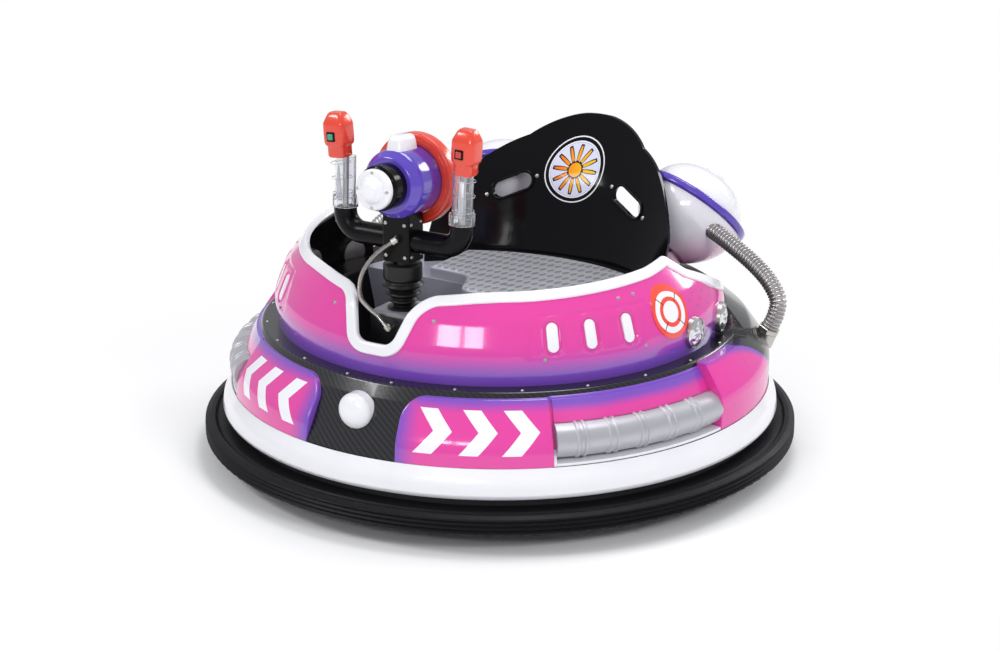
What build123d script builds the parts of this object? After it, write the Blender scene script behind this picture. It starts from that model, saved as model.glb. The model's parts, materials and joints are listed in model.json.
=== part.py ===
"""Round battery bumper car with a tilting two-handle control column.

Millimetres, +Z up, origin on the floor under the centre of the round bumper.
The front of the car faces -Y and its left side is +X. A bearing runs from the front (0) towards
the left side (90), so bearing b points along (sin b, -cos b).
"""
from build123d import *
from math import cos, radians, sin, sqrt
import os

# ---- driving dimensions ----------------------------------------------------------------------
BUMPER_R = 700.0            # outer radius of the rubber bumper
BUMPER_W = 68.0             # radial width of the rubber
BUMPER_H = 42.0             # height of the rubber
BUMPER_Z = 45.0             # floor to the underside of the rubber
GROOVE = 4.0                # half size of the grooves in the rubber

HOOP_T, HOOP_H = 5.0, 62.0  # steel hoop behind the rubber
HOOP_LIP = 36.0             # flange on top of the hoop, which carries the body
HOOP_R = BUMPER_R - BUMPER_W
HOOP_TOP = BUMPER_Z + HOOP_H
RAIL_W, RAIL_H = 40.0, 25.0 # box tube of the underframe
RAIL_X, CROSS_Y = 190.0, 300.0
RAIL_Z = HOOP_TOP - RAIL_H  # underside of the rails, which end level with the hoop
HOLE_Y, HOLE_R = 240.0, 4.5 # accessory bolt holes through the long rails

SKIN = 6.0                  # laminate thickness of the body mouldings
BAND_OUT = 25.0             # the white band stands this far out from the hoop
BAND_R, BAND_TOP_R = HOOP_R + BAND_OUT, 633.0
BAND_TOP_Z = 171.0          # top edge of the white band and foot of the skirt
SKIRT_R = 632.0
SHOULDER_R, SHOULDER_Z = 575.0, 284.0
SEAM_R, SEAM_Z = 556.0, 312.0   # outer edge and height of the ledge that carries the upper shell
LEDGE_IN_R = 468.0

PANEL_SPAN = (10.4, 41.4)   # bearings of the front side panels
RECESS_SPAN = (42.0, 95.0)  # bearings of the recesses with the ribbed tubes
COWL_FRONT = 95.6           # bearing where the rear cowl starts on either side
SHELL_END = 110.5           # bearing where the upper shell ends on either side
COWL_TOP_R, COWL_TOP_Z = 530.0, 352.0
PIPE_R, PIPE_RIB = 34.0, 3.0
PIPE_RING_R, PIPE_Z = 592.0, 214.0

SHELL_FOOT_R = 520.0        # outer face of the upper shell at its foot
WAIST_R, WAIST_Z = 529.0, 378.0
HIP_R, HIP_Z = 500.0, 448.0
CROWN_R, CROWN_Z = 425.0, 532.0
NOTCH_HALF, NOTCH_Z = 43.0, 386.0   # half width and floor of the notch in the front wall
TRIM_W, TRIM_PROUD, TRIM_IN = 26.0, 5.0, 5.0

TUB_Z, TUB_R = 150.0, 392.0 # cockpit floor and its radius
DECK_Z, DECK_R, DECK_OUT_R = 340.0, 430.0, 507.0
PAN_T, PAN_HALF = 30.0, 240.0
SEAT_Y, SEAT_R = -200.0, 500.0  # the seat back turns about this point, at this radius
SEAT_TOP = 700.0

WHEEL_R, WHEEL_W, WHEEL_X = 100.0, 46.0, 448.0
MOTOR_R, MOTOR_L = 42.0, 100.0
CASTER_R, CASTER_W, CASTER_TRAIL, CASTER_Y = 30.0, 24.0, 24.0, 440.0

PIVOT = (0.0, -408.0, 476.0)    # crossing of the two tilt axes of the control column
CONSOLE_TOP, CONSOLE_HALF = 434.0, 50.0
BARREL_PITCH = 3.0
GRIP_X, GRIP_LEAN = 150.0, 3.6

FIT = 0.3                   # gap between curved faces that meet
RUN = 0.08                  # radial gap of pins and shafts
EAR = 0.4                   # side gap beside pins
SIDES = (-1, 1)

os.makedirs("parts", exist_ok=True)
NODES = {}


def keep(name, *shapes):
    """Puts one or more solids into the node of that name."""
    NODES.setdefault(name, []).extend(s for shape in shapes for s in shape.solids())


def closed(*edges):
    """Face in the (r, z) half plane from edges drawn as (r, z)."""
    return Plane.XZ * make_face(list(edges))


def poly(*points):
    return closed(Polyline(*points, close=True))


def strip(points, wall, radii):
    """Face of a wall whose outer side follows the (r, z) points. A positive wall lies on the right
    of the direction of travel. The corners are rounded with the given radii."""
    inner = []
    for k, (r, z) in enumerate(points):
        before = points[max(k - 1, 0)]
        after = points[min(k + 1, len(points) - 1)]
        a = Vector(r - before[0], z - before[1])
        b = Vector(after[0] - r, after[1] - z)
        a, b = (a if a.length else b).normalized(), (b if b.length else a).normalized()
        n = Vector(a.Y + b.Y, -a.X - b.X).normalized()
        reach = wall / n.dot(Vector(b.Y, -b.X))
        inner.append((r + n.X * reach, z + n.Y * reach))
    turn = []
    for k in range(1, len(points) - 1):
        a = Vector(points[k][0] - points[k - 1][0], points[k][1] - points[k - 1][1])
        b = Vector(points[k + 1][0] - points[k][0], points[k + 1][1] - points[k][1])
        right = a.X * b.Y - a.Y * b.X < 0
        turn.append(radii[k - 1] - wall if right else radii[k - 1] + wall)
    if len(points) > 2:
        outer_line = FilletPolyline(*points, radius=radii)
        inner_line = FilletPolyline(*inner, radius=[max(t, 0.5) for t in turn])
    else:
        outer_line, inner_line = Line(*points), Line(*inner)
    return closed(outer_line, inner_line, Line(points[0], inner[0]), Line(points[-1], inner[-1]))


def turned(face, span=(0.0, 360.0)):
    """Revolves an (r, z) face about +Z from one bearing to another."""
    return Rot(0, 0, span[0] - 90) * revolve(face, axis=Axis.Z, revolution_arc=span[1] - span[0])


def both(span):
    """The same span of bearings on the left and on the right."""
    return (span, (360 - span[1], 360 - span[0]))


def at(radius, bearing, z):
    b = radians(bearing)
    return Vector(radius * sin(b), -radius * cos(b), z)


def facing(radius, bearing, z, tilt=0.0):
    """Plane at a bearing whose normal points outwards, raised by the tilt."""
    b, t = radians(bearing), radians(tilt)
    normal = Vector(sin(b) * cos(t), -cos(b) * cos(t), sin(t))
    return Plane(origin=at(radius, bearing, z), x_dir=Vector(cos(b), sin(b), 0), z_dir=normal)


def box(x, y, z):
    """Box from three (low, high) pairs."""
    return Pos(*[(a + b) / 2 for a, b in (x, y, z)]) * Box(*[b - a for a, b in (x, y, z)])


def rod(a, b, r, r_end=None):
    """Round bar or cone between two points."""
    a, b = Vector(*a), Vector(*b)
    plane = Plane(origin=a, z_dir=b - a)
    length = (b - a).length
    low = (Align.CENTER, Align.CENTER, Align.MIN)
    if r_end is None or r_end == r:
        return plane * Cylinder(r, length, align=low)
    return plane * Cone(r, r_end, length, align=low)


def swept(path, r):
    start = path @ 0
    return sweep(Plane(origin=start, z_dir=path % 0) * Circle(r), path=path)


def mirrored(shape):
    return mirror(shape, about=Plane.YZ)


# ---- bumper and underframe -------------------------------------------------------------------
def bumper():
    r0, r1 = BUMPER_R - BUMPER_W, BUMPER_R
    z0, z1 = BUMPER_Z, BUMPER_Z + BUMPER_H
    body = make_face(FilletPolyline((r0, z0), (r1, z0), (r1, z1 - 6), (r1 - 14, z1), (r0, z1),
                                    radius=[0, 8, 6, 8, 0], close=True))
    grooves = [(r1 + 1, z0 + BUMPER_H * k) for k in (0.27, 0.5, 0.73)] + [(r1 - 28, z1 + 1)]
    for r, z in grooves:
        body -= Pos(r, z) * Rot(0, 0, 45) * Rectangle(2 * GROOVE, 2 * GROOVE)
    return turned(Plane.XZ * body)


RAIL_TOP = RAIL_Z + RAIL_H
AXLE_REACH = WHEEL_X - WHEEL_W / 2 - 14     # inner face of the motor plates
RAIL_HALF = RAIL_W / 2
PLATE_T, PLATE_RIM, ARM_GAP, SHAFT_HOLE_R = 8.0, 4.0, 8.0, 12.0


def hoop():
    """Steel hoop with the flange that carries the body."""
    lip_r = HOOP_R - HOOP_LIP
    return turned(poly((HOOP_R - HOOP_T, BUMPER_Z), (HOOP_R, BUMPER_Z), (HOOP_R, HOOP_TOP), (lip_r, HOOP_TOP),
                       (lip_r, HOOP_TOP - HOOP_T), (HOOP_R - HOOP_T, HOOP_TOP - HOOP_T)))


def rail(x, y):
    """Tube of the underframe over those spans, coped to the inside of the hoop and its flange."""
    under_lip = RAIL_TOP - HOOP_T
    room = rod((0, 0, RAIL_Z), (0, 0, under_lip), HOOP_R - HOOP_T)
    room += rod((0, 0, under_lip), (0, 0, RAIL_TOP), HOOP_R - HOOP_LIP)
    return box(tuple(sorted(x)), tuple(sorted(y)), (RAIL_Z, RAIL_TOP)) & room


def both_sides(at, half):
    """Span of that half width about a place."""
    return at - half, at + half


def long_rail(s):
    bar = rail(both_sides(s * RAIL_X, RAIL_HALF), (-HOOP_R, HOOP_R))
    for y in SIDES:
        bar -= rod((s * RAIL_X, y * HOLE_Y, RAIL_Z - 1), (s * RAIL_X, y * HOLE_Y, RAIL_TOP + 1), HOLE_R)
    return bar


def cross_rails(s):
    """Cross rail of one end in three lengths, between and outside the long rails."""
    inner, outer = RAIL_X - RAIL_HALF, RAIL_X + RAIL_HALF
    spans = ((-inner, inner), (outer, HOOP_R), (-HOOP_R, -outer))
    return [rail(span, both_sides(s * CROSS_Y, RAIL_HALF)) for span in spans]


def motor_mount(s):
    """Two arms and the plate of one drive motor."""
    arm_y = MOTOR_R + ARM_GAP + RAIL_HALF
    arms = [rail((s * (RAIL_X + RAIL_HALF), s * AXLE_REACH), both_sides(y * arm_y, RAIL_HALF)) for y in SIDES]
    x0, x1 = sorted((s * AXLE_REACH, s * (AXLE_REACH + PLATE_T)))
    plate_y = MOTOR_R + ARM_GAP + RAIL_HALF
    tall = MOTOR_R + PLATE_RIM
    plate = box((x0, x1), (-plate_y, plate_y), (WHEEL_R - tall, WHEEL_R + tall))
    near, far = s * (AXLE_REACH - 5), s * (AXLE_REACH + PLATE_T + 5)
    plate -= rod((near, 0, WHEEL_R), (far, 0, WHEEL_R), SHAFT_HOLE_R)
    return arms, plate


def tub_foot(x, y):
    return box(both_sides(x, RAIL_HALF), both_sides(y, RAIL_HALF), (RAIL_TOP, TUB_Z))


keep("bumper_ring", bumper())
keep("frame_hoop", hoop())
for s in SIDES:
    keep("long_rails", long_rail(s))
    keep("cross_rails", *cross_rails(s))
    keep("end_rails", rail((-RAIL_HALF, RAIL_HALF), (s * (CROSS_Y + RAIL_HALF), s * HOOP_R)))
    arms, plate = motor_mount(s)
    keep("motor_arms", *arms)
    keep("motor_plates", plate)
    keep("tub_feet", *[tub_foot(s * RAIL_X, y * CROSS_Y) for y in SIDES])

# ---- drive wheels ----------------------------------------------------------------------------
HUB_R = WHEEL_R - 24


def drive(s):
    """Motor, hub and tyre on the side s."""
    plate = AXLE_REACH
    inner, outer = WHEEL_X - WHEEL_W / 2, WHEEL_X + WHEEL_W / 2

    def x_rod(x0, x1, r):
        return rod((s * x0, 0, WHEEL_R), (s * x1, 0, WHEEL_R), r)
    motor = x_rod(plate - MOTOR_L, plate, MOTOR_R) + x_rod(plate, outer - 8, 10)
    hub = x_rod(inner + 2, outer - 2, HUB_R) - x_rod(inner, outer, 10 + RUN)
    for x0, x1 in ((inner, inner + 10), (outer - 10, outer)):
        hub -= x_rod(x0, x1, HUB_R - 10) - x_rod(x0 - 1, x1 + 1, 24)
    for k in range(5):
        place = Pos(s * WHEEL_X, 0, WHEEL_R) * Rot(72 * k, 0, 0) * Pos(0, 0, 46)
        hub -= place * Rot(0, 90, 0) * Cylinder(11, WHEEL_W)
    tyre = x_rod(inner, outer, WHEEL_R) - x_rod(inner - 1, outer + 1, HUB_R)
    tyre = fillet(tyre.edges().filter_by(GeomType.CIRCLE).sort_by(lambda e: e.radius)[-2:], 9)
    return motor, hub, tyre


for side, s in (("right", -1), ("left", 1)):
    motor, hub, tyre = drive(s)
    keep("drive_motors", motor)
    keep(f"wheel_hub_{side}", hub)
    keep(f"tyre_{side}", tyre)


# ---- casters ---------------------------------------------------------------------------------
def caster(s):
    """Fixed socket, swivelling fork and wheel at the front (-1) or the rear (1). The wheel trails
    behind its swivel."""
    y = s * CASTER_Y
    wheel_y = y + CASTER_TRAIL
    plate_z = RAIL_Z - 4
    low = plate_z - 8
    half = CASTER_W / 2 + 3
    socket = box((-30, 30), (y - 30, y + 30), (plate_z, RAIL_Z))
    socket += rod((0, y, plate_z + 1), (0, y, low + 3), 20)
    socket -= rod((0, y, low - 1), (0, y, plate_z - 1), 6 + RUN)
    fork = rod((0, y, low - 4), (0, y, low + 3 - EAR), 21) + rod((0, y, low), (0, y, plate_z - 1 - EAR), 6)
    top = box((-half - 4, half + 4), (y - 16, wheel_y + 10), (low - 6, low - 1))
    fork += top
    for k in SIDES:
        x0, x1 = sorted((k * half, k * (half + 4)))
        cheek = Plane.YZ.offset(x0) * make_face(Polyline((y - 14, low - 2), (wheel_y - 9, CASTER_R - 4),
                                                        (wheel_y + 9, CASTER_R - 4), (wheel_y + 10, low - 2),
                                                        close=True))
        fork += extrude(cheek, x1 - x0)
        fork += rod((x0, wheel_y, CASTER_R), (x1, wheel_y, CASTER_R), 10)
    fork += rod((-half - 5, wheel_y, CASTER_R), (half + 5, wheel_y, CASTER_R), 4)
    wheel = rod((-CASTER_W / 2, wheel_y, CASTER_R), (CASTER_W / 2, wheel_y, CASTER_R), CASTER_R)
    wheel = fillet(wheel.edges().filter_by(GeomType.CIRCLE), 5)
    wheel -= rod((-half, wheel_y, CASTER_R), (half, wheel_y, CASTER_R), 4 + RUN)
    return socket, fork, wheel


for end, s in (("front", -1), ("rear", 1)):
    socket, fork, wheel = caster(s)
    keep("caster_sockets", socket)
    keep(f"caster_fork_{end}", fork)
    keep(f"caster_wheel_{end}", wheel)

# ---- lower body ------------------------------------------------------------------------------
FOOT = (SKIRT_R, BAND_TOP_Z)
SHOULDER = (SHOULDER_R, SHOULDER_Z)
LIP = (SEAM_R, SEAM_Z)
RECESS_R = PIPE_RING_R - PIPE_R - PIPE_RIB - 3
SHELF_Z = PIPE_Z - PIPE_R - PIPE_RIB - FIT
POCKET_Z = PIPE_Z + PIPE_R + PIPE_RIB + 2


def skirt_r(z):
    """Radius of the skirt's outer face at a height."""
    return SKIRT_R + (SHOULDER_R - SKIRT_R) * (z - BAND_TOP_Z) / (SHOULDER_Z - BAND_TOP_Z)


def band():
    face = strip([(HOOP_R - HOOP_LIP, HOOP_TOP), (BAND_R - 6, HOOP_TOP), (BAND_R, HOOP_TOP + 8),
                  (BAND_R - 4, HOOP_TOP + 34), (BAND_TOP_R + 3, BAND_TOP_Z)], -SKIN, [4, 8, 60])
    return turned(face) & turned(poly((500, 90), (700, 90), (700, BAND_TOP_Z), (500, BAND_TOP_Z)))


def lower_cover():
    room = turned(poly((LEDGE_IN_R, BAND_TOP_Z), (700, BAND_TOP_Z), (700, SEAM_Z), (LEDGE_IN_R, SEAM_Z)))
    skirt = turned(strip([FOOT, SHOULDER, LIP, (LEDGE_IN_R, SEAM_Z)], -SKIN, [12, 8]))
    for span in both(RECESS_SPAN):
        skirt -= turned(poly((500, 150), (700, 150), (700, SEAM_Z - 10), (SEAM_R - 30, SEAM_Z - 10)), span)
        ends = ((span[0] - 0.6, span[0]), (span[1], span[1] + 0.6))
        pocket = [FOOT, (SKIRT_R - 1, SHELF_Z), (RECESS_R, SHELF_Z), (RECESS_R, POCKET_Z),
                  (skirt_r(POCKET_Z) + 1, POCKET_Z), (SEAM_R + 10, SEAM_Z - 12),
                  (LIP[0] - 6, SEAM_Z), (SEAM_R - 34, SEAM_Z)]
        skirt += turned(strip(pocket, -SKIN, [1, 6, 6, 1, 6, 8]), span)
        for end in ends:
            wall = poly((RECESS_R - 4, SHELF_Z - 4), (skirt_r(SHELF_Z) - 1, SHELF_Z - 4),
                        (skirt_r(POCKET_Z + 20) - 1, POCKET_Z + 20), (RECESS_R - 4, POCKET_Z + 20))
            skirt += turned(wall, end)
    return skirt & room


def side_pipe(span):
    """Ribbed tube bent round the side of the car."""
    pipe = turned(Plane.XZ * Pos(PIPE_RING_R, PIPE_Z) * Circle(PIPE_R), span)
    count = 5
    pitch = (span[1] - span[0]) / count
    for k in range(count):
        for shift in (-0.8, 0.8):
            b = span[0] + pitch * (k + 0.5) + shift
            rib = Plane.XZ * Pos(PIPE_RING_R, PIPE_Z) * Circle(PIPE_R + PIPE_RIB)
            pipe += turned(rib, (b - 0.4, b + 0.4))
    return pipe


def front_panel(span):
    """Bulged cover on the skirt between the centre section and the side recess."""
    low, high = (SKIRT_R + 3, BAND_TOP_Z + FIT), (SEAM_R + 15, SEAM_Z - 9)
    face = closed(Spline(low, (SKIRT_R - 5, SHOULDER_Z - 68), (SKIRT_R - 32, SHOULDER_Z - 22), high),
                  Polyline(high, (SEAM_R - 10, SEAM_Z - 9), (SEAM_R - 10, BAND_TOP_Z + FIT), low))
    return turned(face, span) - skirt_core


def side_panel(span):
    """Sloping cover over the ribbed tube."""
    low = (skirt_r(POCKET_Z) + 1, POCKET_Z)
    high = (SEAM_R + 10, SEAM_Z - 12)
    return turned(strip([low, high], 4, []), span) & turned(poly((500, POCKET_Z + 2), (700, POCKET_Z + 2),
                                                               (700, SEAM_Z - 14), (500, SEAM_Z - 14)), span)


def rear_cowl():
    """High bulged cover round the back. Its front ends slope down to the ledge."""
    line = [(SKIRT_R + 2, BAND_TOP_Z), (SKIRT_R + 3, 245), (SKIRT_R - 46, 312), (COWL_TOP_R, COWL_TOP_Z)]
    inner_r = DECK_OUT_R + 2
    face = closed(FilletPolyline(*line, radius=[50, 60]),
                  Polyline(line[-1], (inner_r, COWL_TOP_Z), (inner_r, BAND_TOP_Z), line[0]))
    cowl = turned(face, (COWL_FRONT, 360 - COWL_FRONT)) - skirt_core
    slope = make_face(FilletPolyline((-200, SEAM_Z - 4), (148, SEAM_Z - 4), (225, COWL_TOP_Z + 14),
                                     (225, 600), (-200, 600), radius=[0, 60, 10, 0, 0], close=True))
    return cowl - extrude(Plane.YZ.offset(-700) * slope, 1400)


skirt_core = turned(closed(FilletPolyline(FOOT, SHOULDER, LIP, (LEDGE_IN_R, SEAM_Z), radius=[12, 8]),
                           Polyline((LEDGE_IN_R, SEAM_Z), (0, SEAM_Z), (0, BAND_TOP_Z), FOOT)))
keep("skirt_band", band())
keep("lower_cover", lower_cover())
for span in both(PANEL_SPAN):
    keep("front_panels", front_panel(span))
for span in both(RECESS_SPAN):
    keep("side_pipes", side_pipe(span))
    keep("side_panels", side_panel(span))
dome_z = 255.0
dome_plane = facing(skirt_r(dome_z) - 12, 0, dome_z)
dome = dome_plane * (Cylinder(40, 20, align=(Align.CENTER, Align.CENTER, Align.MIN))
                     + Pos(0, 0, 20) * Rot(0, 0, 0) * scale(Sphere(40), by=(1, 1, 0.62)))
keep("front_dome", dome - skirt_core)

# ---- upper shell -----------------------------------------------------------------------------
SHELL_LINE = [(SHELL_FOOT_R, SEAM_Z), (WAIST_R, WAIST_Z), (HIP_R, HIP_Z), (CROWN_R, CROWN_Z)]


def shell_section(out, wall):
    """Upper shell's wall, its outer face moved out by that much."""
    line = [(r + out, z) for r, z in SHELL_LINE]
    line[-1] = (CROWN_R + out * 0.7, CROWN_Z + out * 0.7)
    return turned(strip(line, -wall, [90, 60]))


def opening(grow):
    """Volume above the cockpit rim and in the front notch, grown downwards and sideways."""
    front = [(-620, 532), (-290, 503), (-190, 499), (-(NOTCH_HALF + 34), 486), (-NOTCH_HALF, NOTCH_Z),
             (NOTCH_HALF, NOTCH_Z), (NOTCH_HALF + 34, 486), (190, 499), (290, 503), (620, 532)]
    notch = make_face([FilletPolyline(*front, radius=[200, 200, 34, 30, 30, 34, 200, 200]),
                       Polyline((-620, 532), (-620, 700), (620, 700), (620, 532))])
    side = [(-620, 500), (-356, 502), (-106, 513), (-26, 522), (18, 485), (100, 450), (270, 380),
            (385, 336), (620, 328)]
    rim = make_face([FilletPolyline(*side, radius=[400, 200, 22, 30, 200, 300, 300]),
                     Polyline((-620, 500), (-620, 700), (620, 700), (620, 328))])
    if grow:
        notch = offset(notch, amount=grow, kind=Kind.ARC)
        rim = offset(rim, amount=grow, kind=Kind.ARC)
    notch = extrude(Plane.XZ * notch, 700)
    rim = extrude(Plane.YZ.offset(-700) * rim, 1400)
    return notch + rim


open_space = opening(0)
trim_space = opening(TRIM_W)
rear_gap = turned(poly((300, 300), (700, 300), (700, 600), (300, 600)), (SHELL_END, 360 - SHELL_END))
upper = shell_section(0, SKIN) - trim_space - rear_gap
trim = (shell_section(TRIM_PROUD, SKIN + TRIM_PROUD + TRIM_IN) & trim_space) - open_space - rear_gap


def shell_core(out):
    """Solid filled up to the upper shell's outer face, moved out by that much."""
    line = [(r + out, z) for r, z in SHELL_LINE]
    return turned(closed(FilletPolyline(*line, radius=[90, 60]),
                         Polyline(line[-1], (0, CROWN_Z), (0, SEAM_Z), line[0])))



VENTS = (43.6, 53.2, 63.5)
VENT_Z, VENT_W, VENT_H = 415.0, 38.0, 70.0
DISC_B, DISC_Z, DISC_R = 77.7, 424.0, 56.0
LAMPS = ((85.5, 362.0), (103.0, 352.0))
LAMP_R = 35.0


def obround(width, height):
    return SlotOverall(height, width, rotation=90)


def radial_cut(sketch, bearing, z, depth=160.0):
    plane = facing(WAIST_R - depth / 2, bearing, z)
    return extrude(plane * sketch, depth)


inserts = shell_section(-2, 3)
badge = shell_core(2.5) - shell_core(0)
beside = turned(poly((300, 300), (700, 300), (700, 600), (300, 600)), (SHELL_END + 0.4, 359.6 - SHELL_END))
keep("rear_cowl", rear_cowl() - (shell_core(TRIM_PROUD + 1) - beside))
for side in SIDES:
    for b in VENTS:
        upper -= radial_cut(obround(VENT_W, VENT_H), side * b, VENT_Z)
        insert = obround(VENT_W - 2 * FIT, VENT_H - 2 * FIT)
        keep("vent_inserts", inserts & radial_cut(insert, side * b, VENT_Z))
    keep("target_discs", badge & radial_cut(Circle(DISC_R), side * DISC_B, DISC_Z))
    for b, z in LAMPS:
        upper -= radial_cut(Circle(LAMP_R + FIT), side * b, z)
        seat = facing(WAIST_R - 22, side * b, z)
        on_seat = (Align.CENTER, Align.CENTER, Align.MIN)
        lamp = seat * (Cylinder(LAMP_R, 26, align=on_seat)
                       + Pos(0, 0, 26) * Cone(LAMP_R, LAMP_R - 15, 9, align=on_seat))
        keep("side_lamps", lamp)
keep("upper_shell", upper)
keep("rim_trim", trim)

# ---- cockpit ---------------------------------------------------------------------------------
def tub():
    inner = [(0, TUB_Z + SKIN), (TUB_R, TUB_Z + SKIN), (DECK_R, DECK_Z), (DECK_OUT_R, DECK_Z),
             (DECK_OUT_R, SEAM_Z)]
    return turned(strip(inner, SKIN, [30, 12, 8])) & turned(poly((0, 100), (600, 100), (600, 500), (0, 500)))


def well(top):
    """Space inside the tub up to a height. Above the deck it is as wide as the deck."""
    line = [(0, TUB_Z + SKIN), (TUB_R, TUB_Z + SKIN), (DECK_R, DECK_Z), (DECK_OUT_R, DECK_Z),
            (DECK_OUT_R, 700), (0, 700)]
    space = turned(closed(FilletPolyline(*line, radius=[0, 30, 12, 0, 0, 0], close=True)))
    return space & turned(poly((0, 0), (700, 0), (700, top), (0, top)))


def pan_outline(inset, y_back):
    """Front edge of the seat with its nose, closed at the back."""
    w = 700 if y_back else PAN_HALF - inset
    y0 = 70 + inset
    return FilletPolyline((w, y0), (125 - inset, y0 - 8), (80 - inset, -50 + inset),
                          (inset - 80, -50 + inset), (inset - 125, y0 - 8), (-w, y0),
                          radius=[50, 34, 34, 50])


def seat_pan():
    front = pan_outline(0, False)
    back_y = SEAT_Y + sqrt(SEAT_R ** 2 - PAN_HALF ** 2)
    outline = make_face([front, Line((-PAN_HALF, 70), (-PAN_HALF, back_y)),
                         ThreePointArc((-PAN_HALF, back_y), (0, SEAT_Y + SEAT_R), (PAN_HALF, back_y)),
                         Line((PAN_HALF, back_y), (PAN_HALF, 70))])
    pan = extrude(Pos(0, 0, DECK_Z) * outline, PAN_T)
    pan = fillet(pan.edges().group_by(Axis.Z)[-1], 8)
    return pan - box((-14, 14), (22, 34), (DECK_Z + PAN_T - 5, DECK_Z + PAN_T + 5))


def seat_base():
    """Hollow riser under the seat, with the batteries inside."""
    solids = []
    for inset in (0, SKIN):
        outline = make_face([pan_outline(inset, True), Polyline((-700, 70 + inset), (-700, 700), (700, 700),
                                                               (700, 70 + inset))])
        solids.append(outline)
    outer = extrude(Pos(0, 0, TUB_Z + SKIN) * solids[0], DECK_Z - TUB_Z - SKIN) & well(DECK_Z)
    room = scale(well(DECK_Z), by=(0.97, 0.97, 1))
    inner = extrude(Pos(0, 0, TUB_Z) * solids[1], DECK_Z - SKIN - TUB_Z) & room
    return outer - inner


def seat_back():
    top_r = 680.0
    inner = [(SEAT_R + FIT, DECK_Z), (SEAT_R + FIT, DECK_Z + PAN_T + 4), (SEAT_R + 68, 560),
             (top_r, SEAT_TOP)]
    wall = Pos(0, SEAT_Y, 0) * turned(strip(inner, 8, [60, 300]), (120, 240))
    arch = make_face([Polyline((-330, 300), (330, 300), (325, 470)),
                      ThreePointArc((325, 470), (275, 558), (160, 640)),
                      ThreePointArc((160, 640), (0, SEAT_TOP - 2), (-160, 640)),
                      ThreePointArc((-160, 640), (-275, 558), (-325, 470)), Line((-325, 470), (-330, 300))])
    shell = wall & extrude(Plane.XZ * arch, -800)
    for s in SIDES:
        slot = Plane.XZ * Pos(s * 162, 526) * Rot(0, 0, -s * 24) * SlotOverall(95, 38)
        shell -= extrude(slot, -800)
    return shell


def console():
    """Pedestal under the control column, on the cockpit floor and over the front deck."""
    side = make_face(FilletPolyline((-462, TUB_Z), (-462, CONSOLE_TOP), (-340, CONSOLE_TOP),
                                    (-318, 400), (-300, TUB_Z), radius=[0, 14, 30, 40, 0], close=True))
    slab = extrude(Plane.YZ.offset(-CONSOLE_HALF) * side, 2 * CONSOLE_HALF)
    return slab & well(500)


keep("inner_tub", tub())
keep("seat_pan", seat_pan())
keep("seat_base", seat_base())
keep("seat_back", seat_back())
keep("console", console())
for s in SIDES:
    x0, x1 = sorted((s * 15, s * 195))
    keep("batteries", box((x0, x1), (110, 280), (TUB_Z + SKIN, TUB_Z + SKIN + 165)))

# ---- rear pods and their hoses ---------------------------------------------------------------
POD_C = Vector(270, 475, 497)
POD_AXIS = Vector(0.30, 0.60, 0.74).normalized()
POD_R = 136.0
low_align = (Align.CENTER, Align.CENTER, Align.MIN)


def pod():
    """Left pod: bowl, ring and cap, turned about its tilted axis, with its foot on the rear deck."""
    plane = Plane(origin=POD_C, z_dir=POD_AXIS)
    bowl = revolve(closed(Line((0, -9), (POD_R, -9)),
                          ThreePointArc((POD_R, -9), (POD_R - 30, -88), (60, -130)),
                          Line((60, -130), (0, -130)), Line((0, -130), (0, -9))), axis=Axis.Z)
    cap_r, ring_r = POD_R - 12, POD_R + 9
    section = FilletPolyline((cap_r, -9), (ring_r, -9), (ring_r, 12), (cap_r, 12),
                             radius=[0, 8, 8, 0], close=True)
    ring = revolve(Plane.XZ * make_face(section), axis=Axis.Z)
    cap = revolve(closed(Line((0, -9), (cap_r, -9)), Line((cap_r, -9), (cap_r, 12)),
                         ThreePointArc((cap_r, 12), (POD_R - 42, 62), (30, 88)),
                         Line((30, 88), (26, 97)), Line((26, 97), (0, 99)), Line((0, 99), (0, -9))),
                  axis=Axis.Z)
    foot = rod((226, 398, DECK_Z), (226, 398, 405), 44)
    return plane * bowl + foot, plane * ring, plane * cap


bowl, ring, cap = pod()
HOSE = [(306, 408, 484), (371, 385, 468), (431, 365, 445), (491, 345, 418), (541, 325, 388), (572, 310, 352),
        (572, 303, 316), (560, 300, 284)]
HOSE_R = 21.0


def bend_radii(points):
    """Largest arcs that the runs of a route allow."""
    radii = []
    for a, b, c in zip(points, points[1:], points[2:]):
        u, v = Vector(*b) - Vector(*a), Vector(*c) - Vector(*b)
        turn = radians(u.get_angle(v))
        radii.append(0.45 * min(u.length, v.length) / max(sin(turn / 2) / cos(turn / 2), 1e-6))
    return radii


def routed(points, r):
    path = FilletPolyline(*points, radius=bend_radii(points))
    return swept(path, r)


hose = routed(HOSE, HOSE_R) - bowl
hose = hose.solids().sort_by(SortBy.VOLUME)[-1]
tip, before_tip = Vector(*HOSE[-1]), Vector(*HOSE[-2])
down = (tip - before_tip).normalized()
nut = Plane(origin=tip, z_dir=down) * (Cylinder(27, 14, align=low_align)
                                      + Pos(0, 0, 14) * Cylinder(23, 60, align=low_align))
nut -= NODES["rear_cowl"][0]
nut = nut.solids().sort_by(lambda piece: piece.center().Z)[-1]
for shape, name in ((bowl, "pod_bodies"), (ring, "pod_rings"), (cap, "pod_caps"),
                    (hose, "pod_hoses"), (nut, "hose_nuts")):
    keep(name, shape, mirrored(shape))

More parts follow.
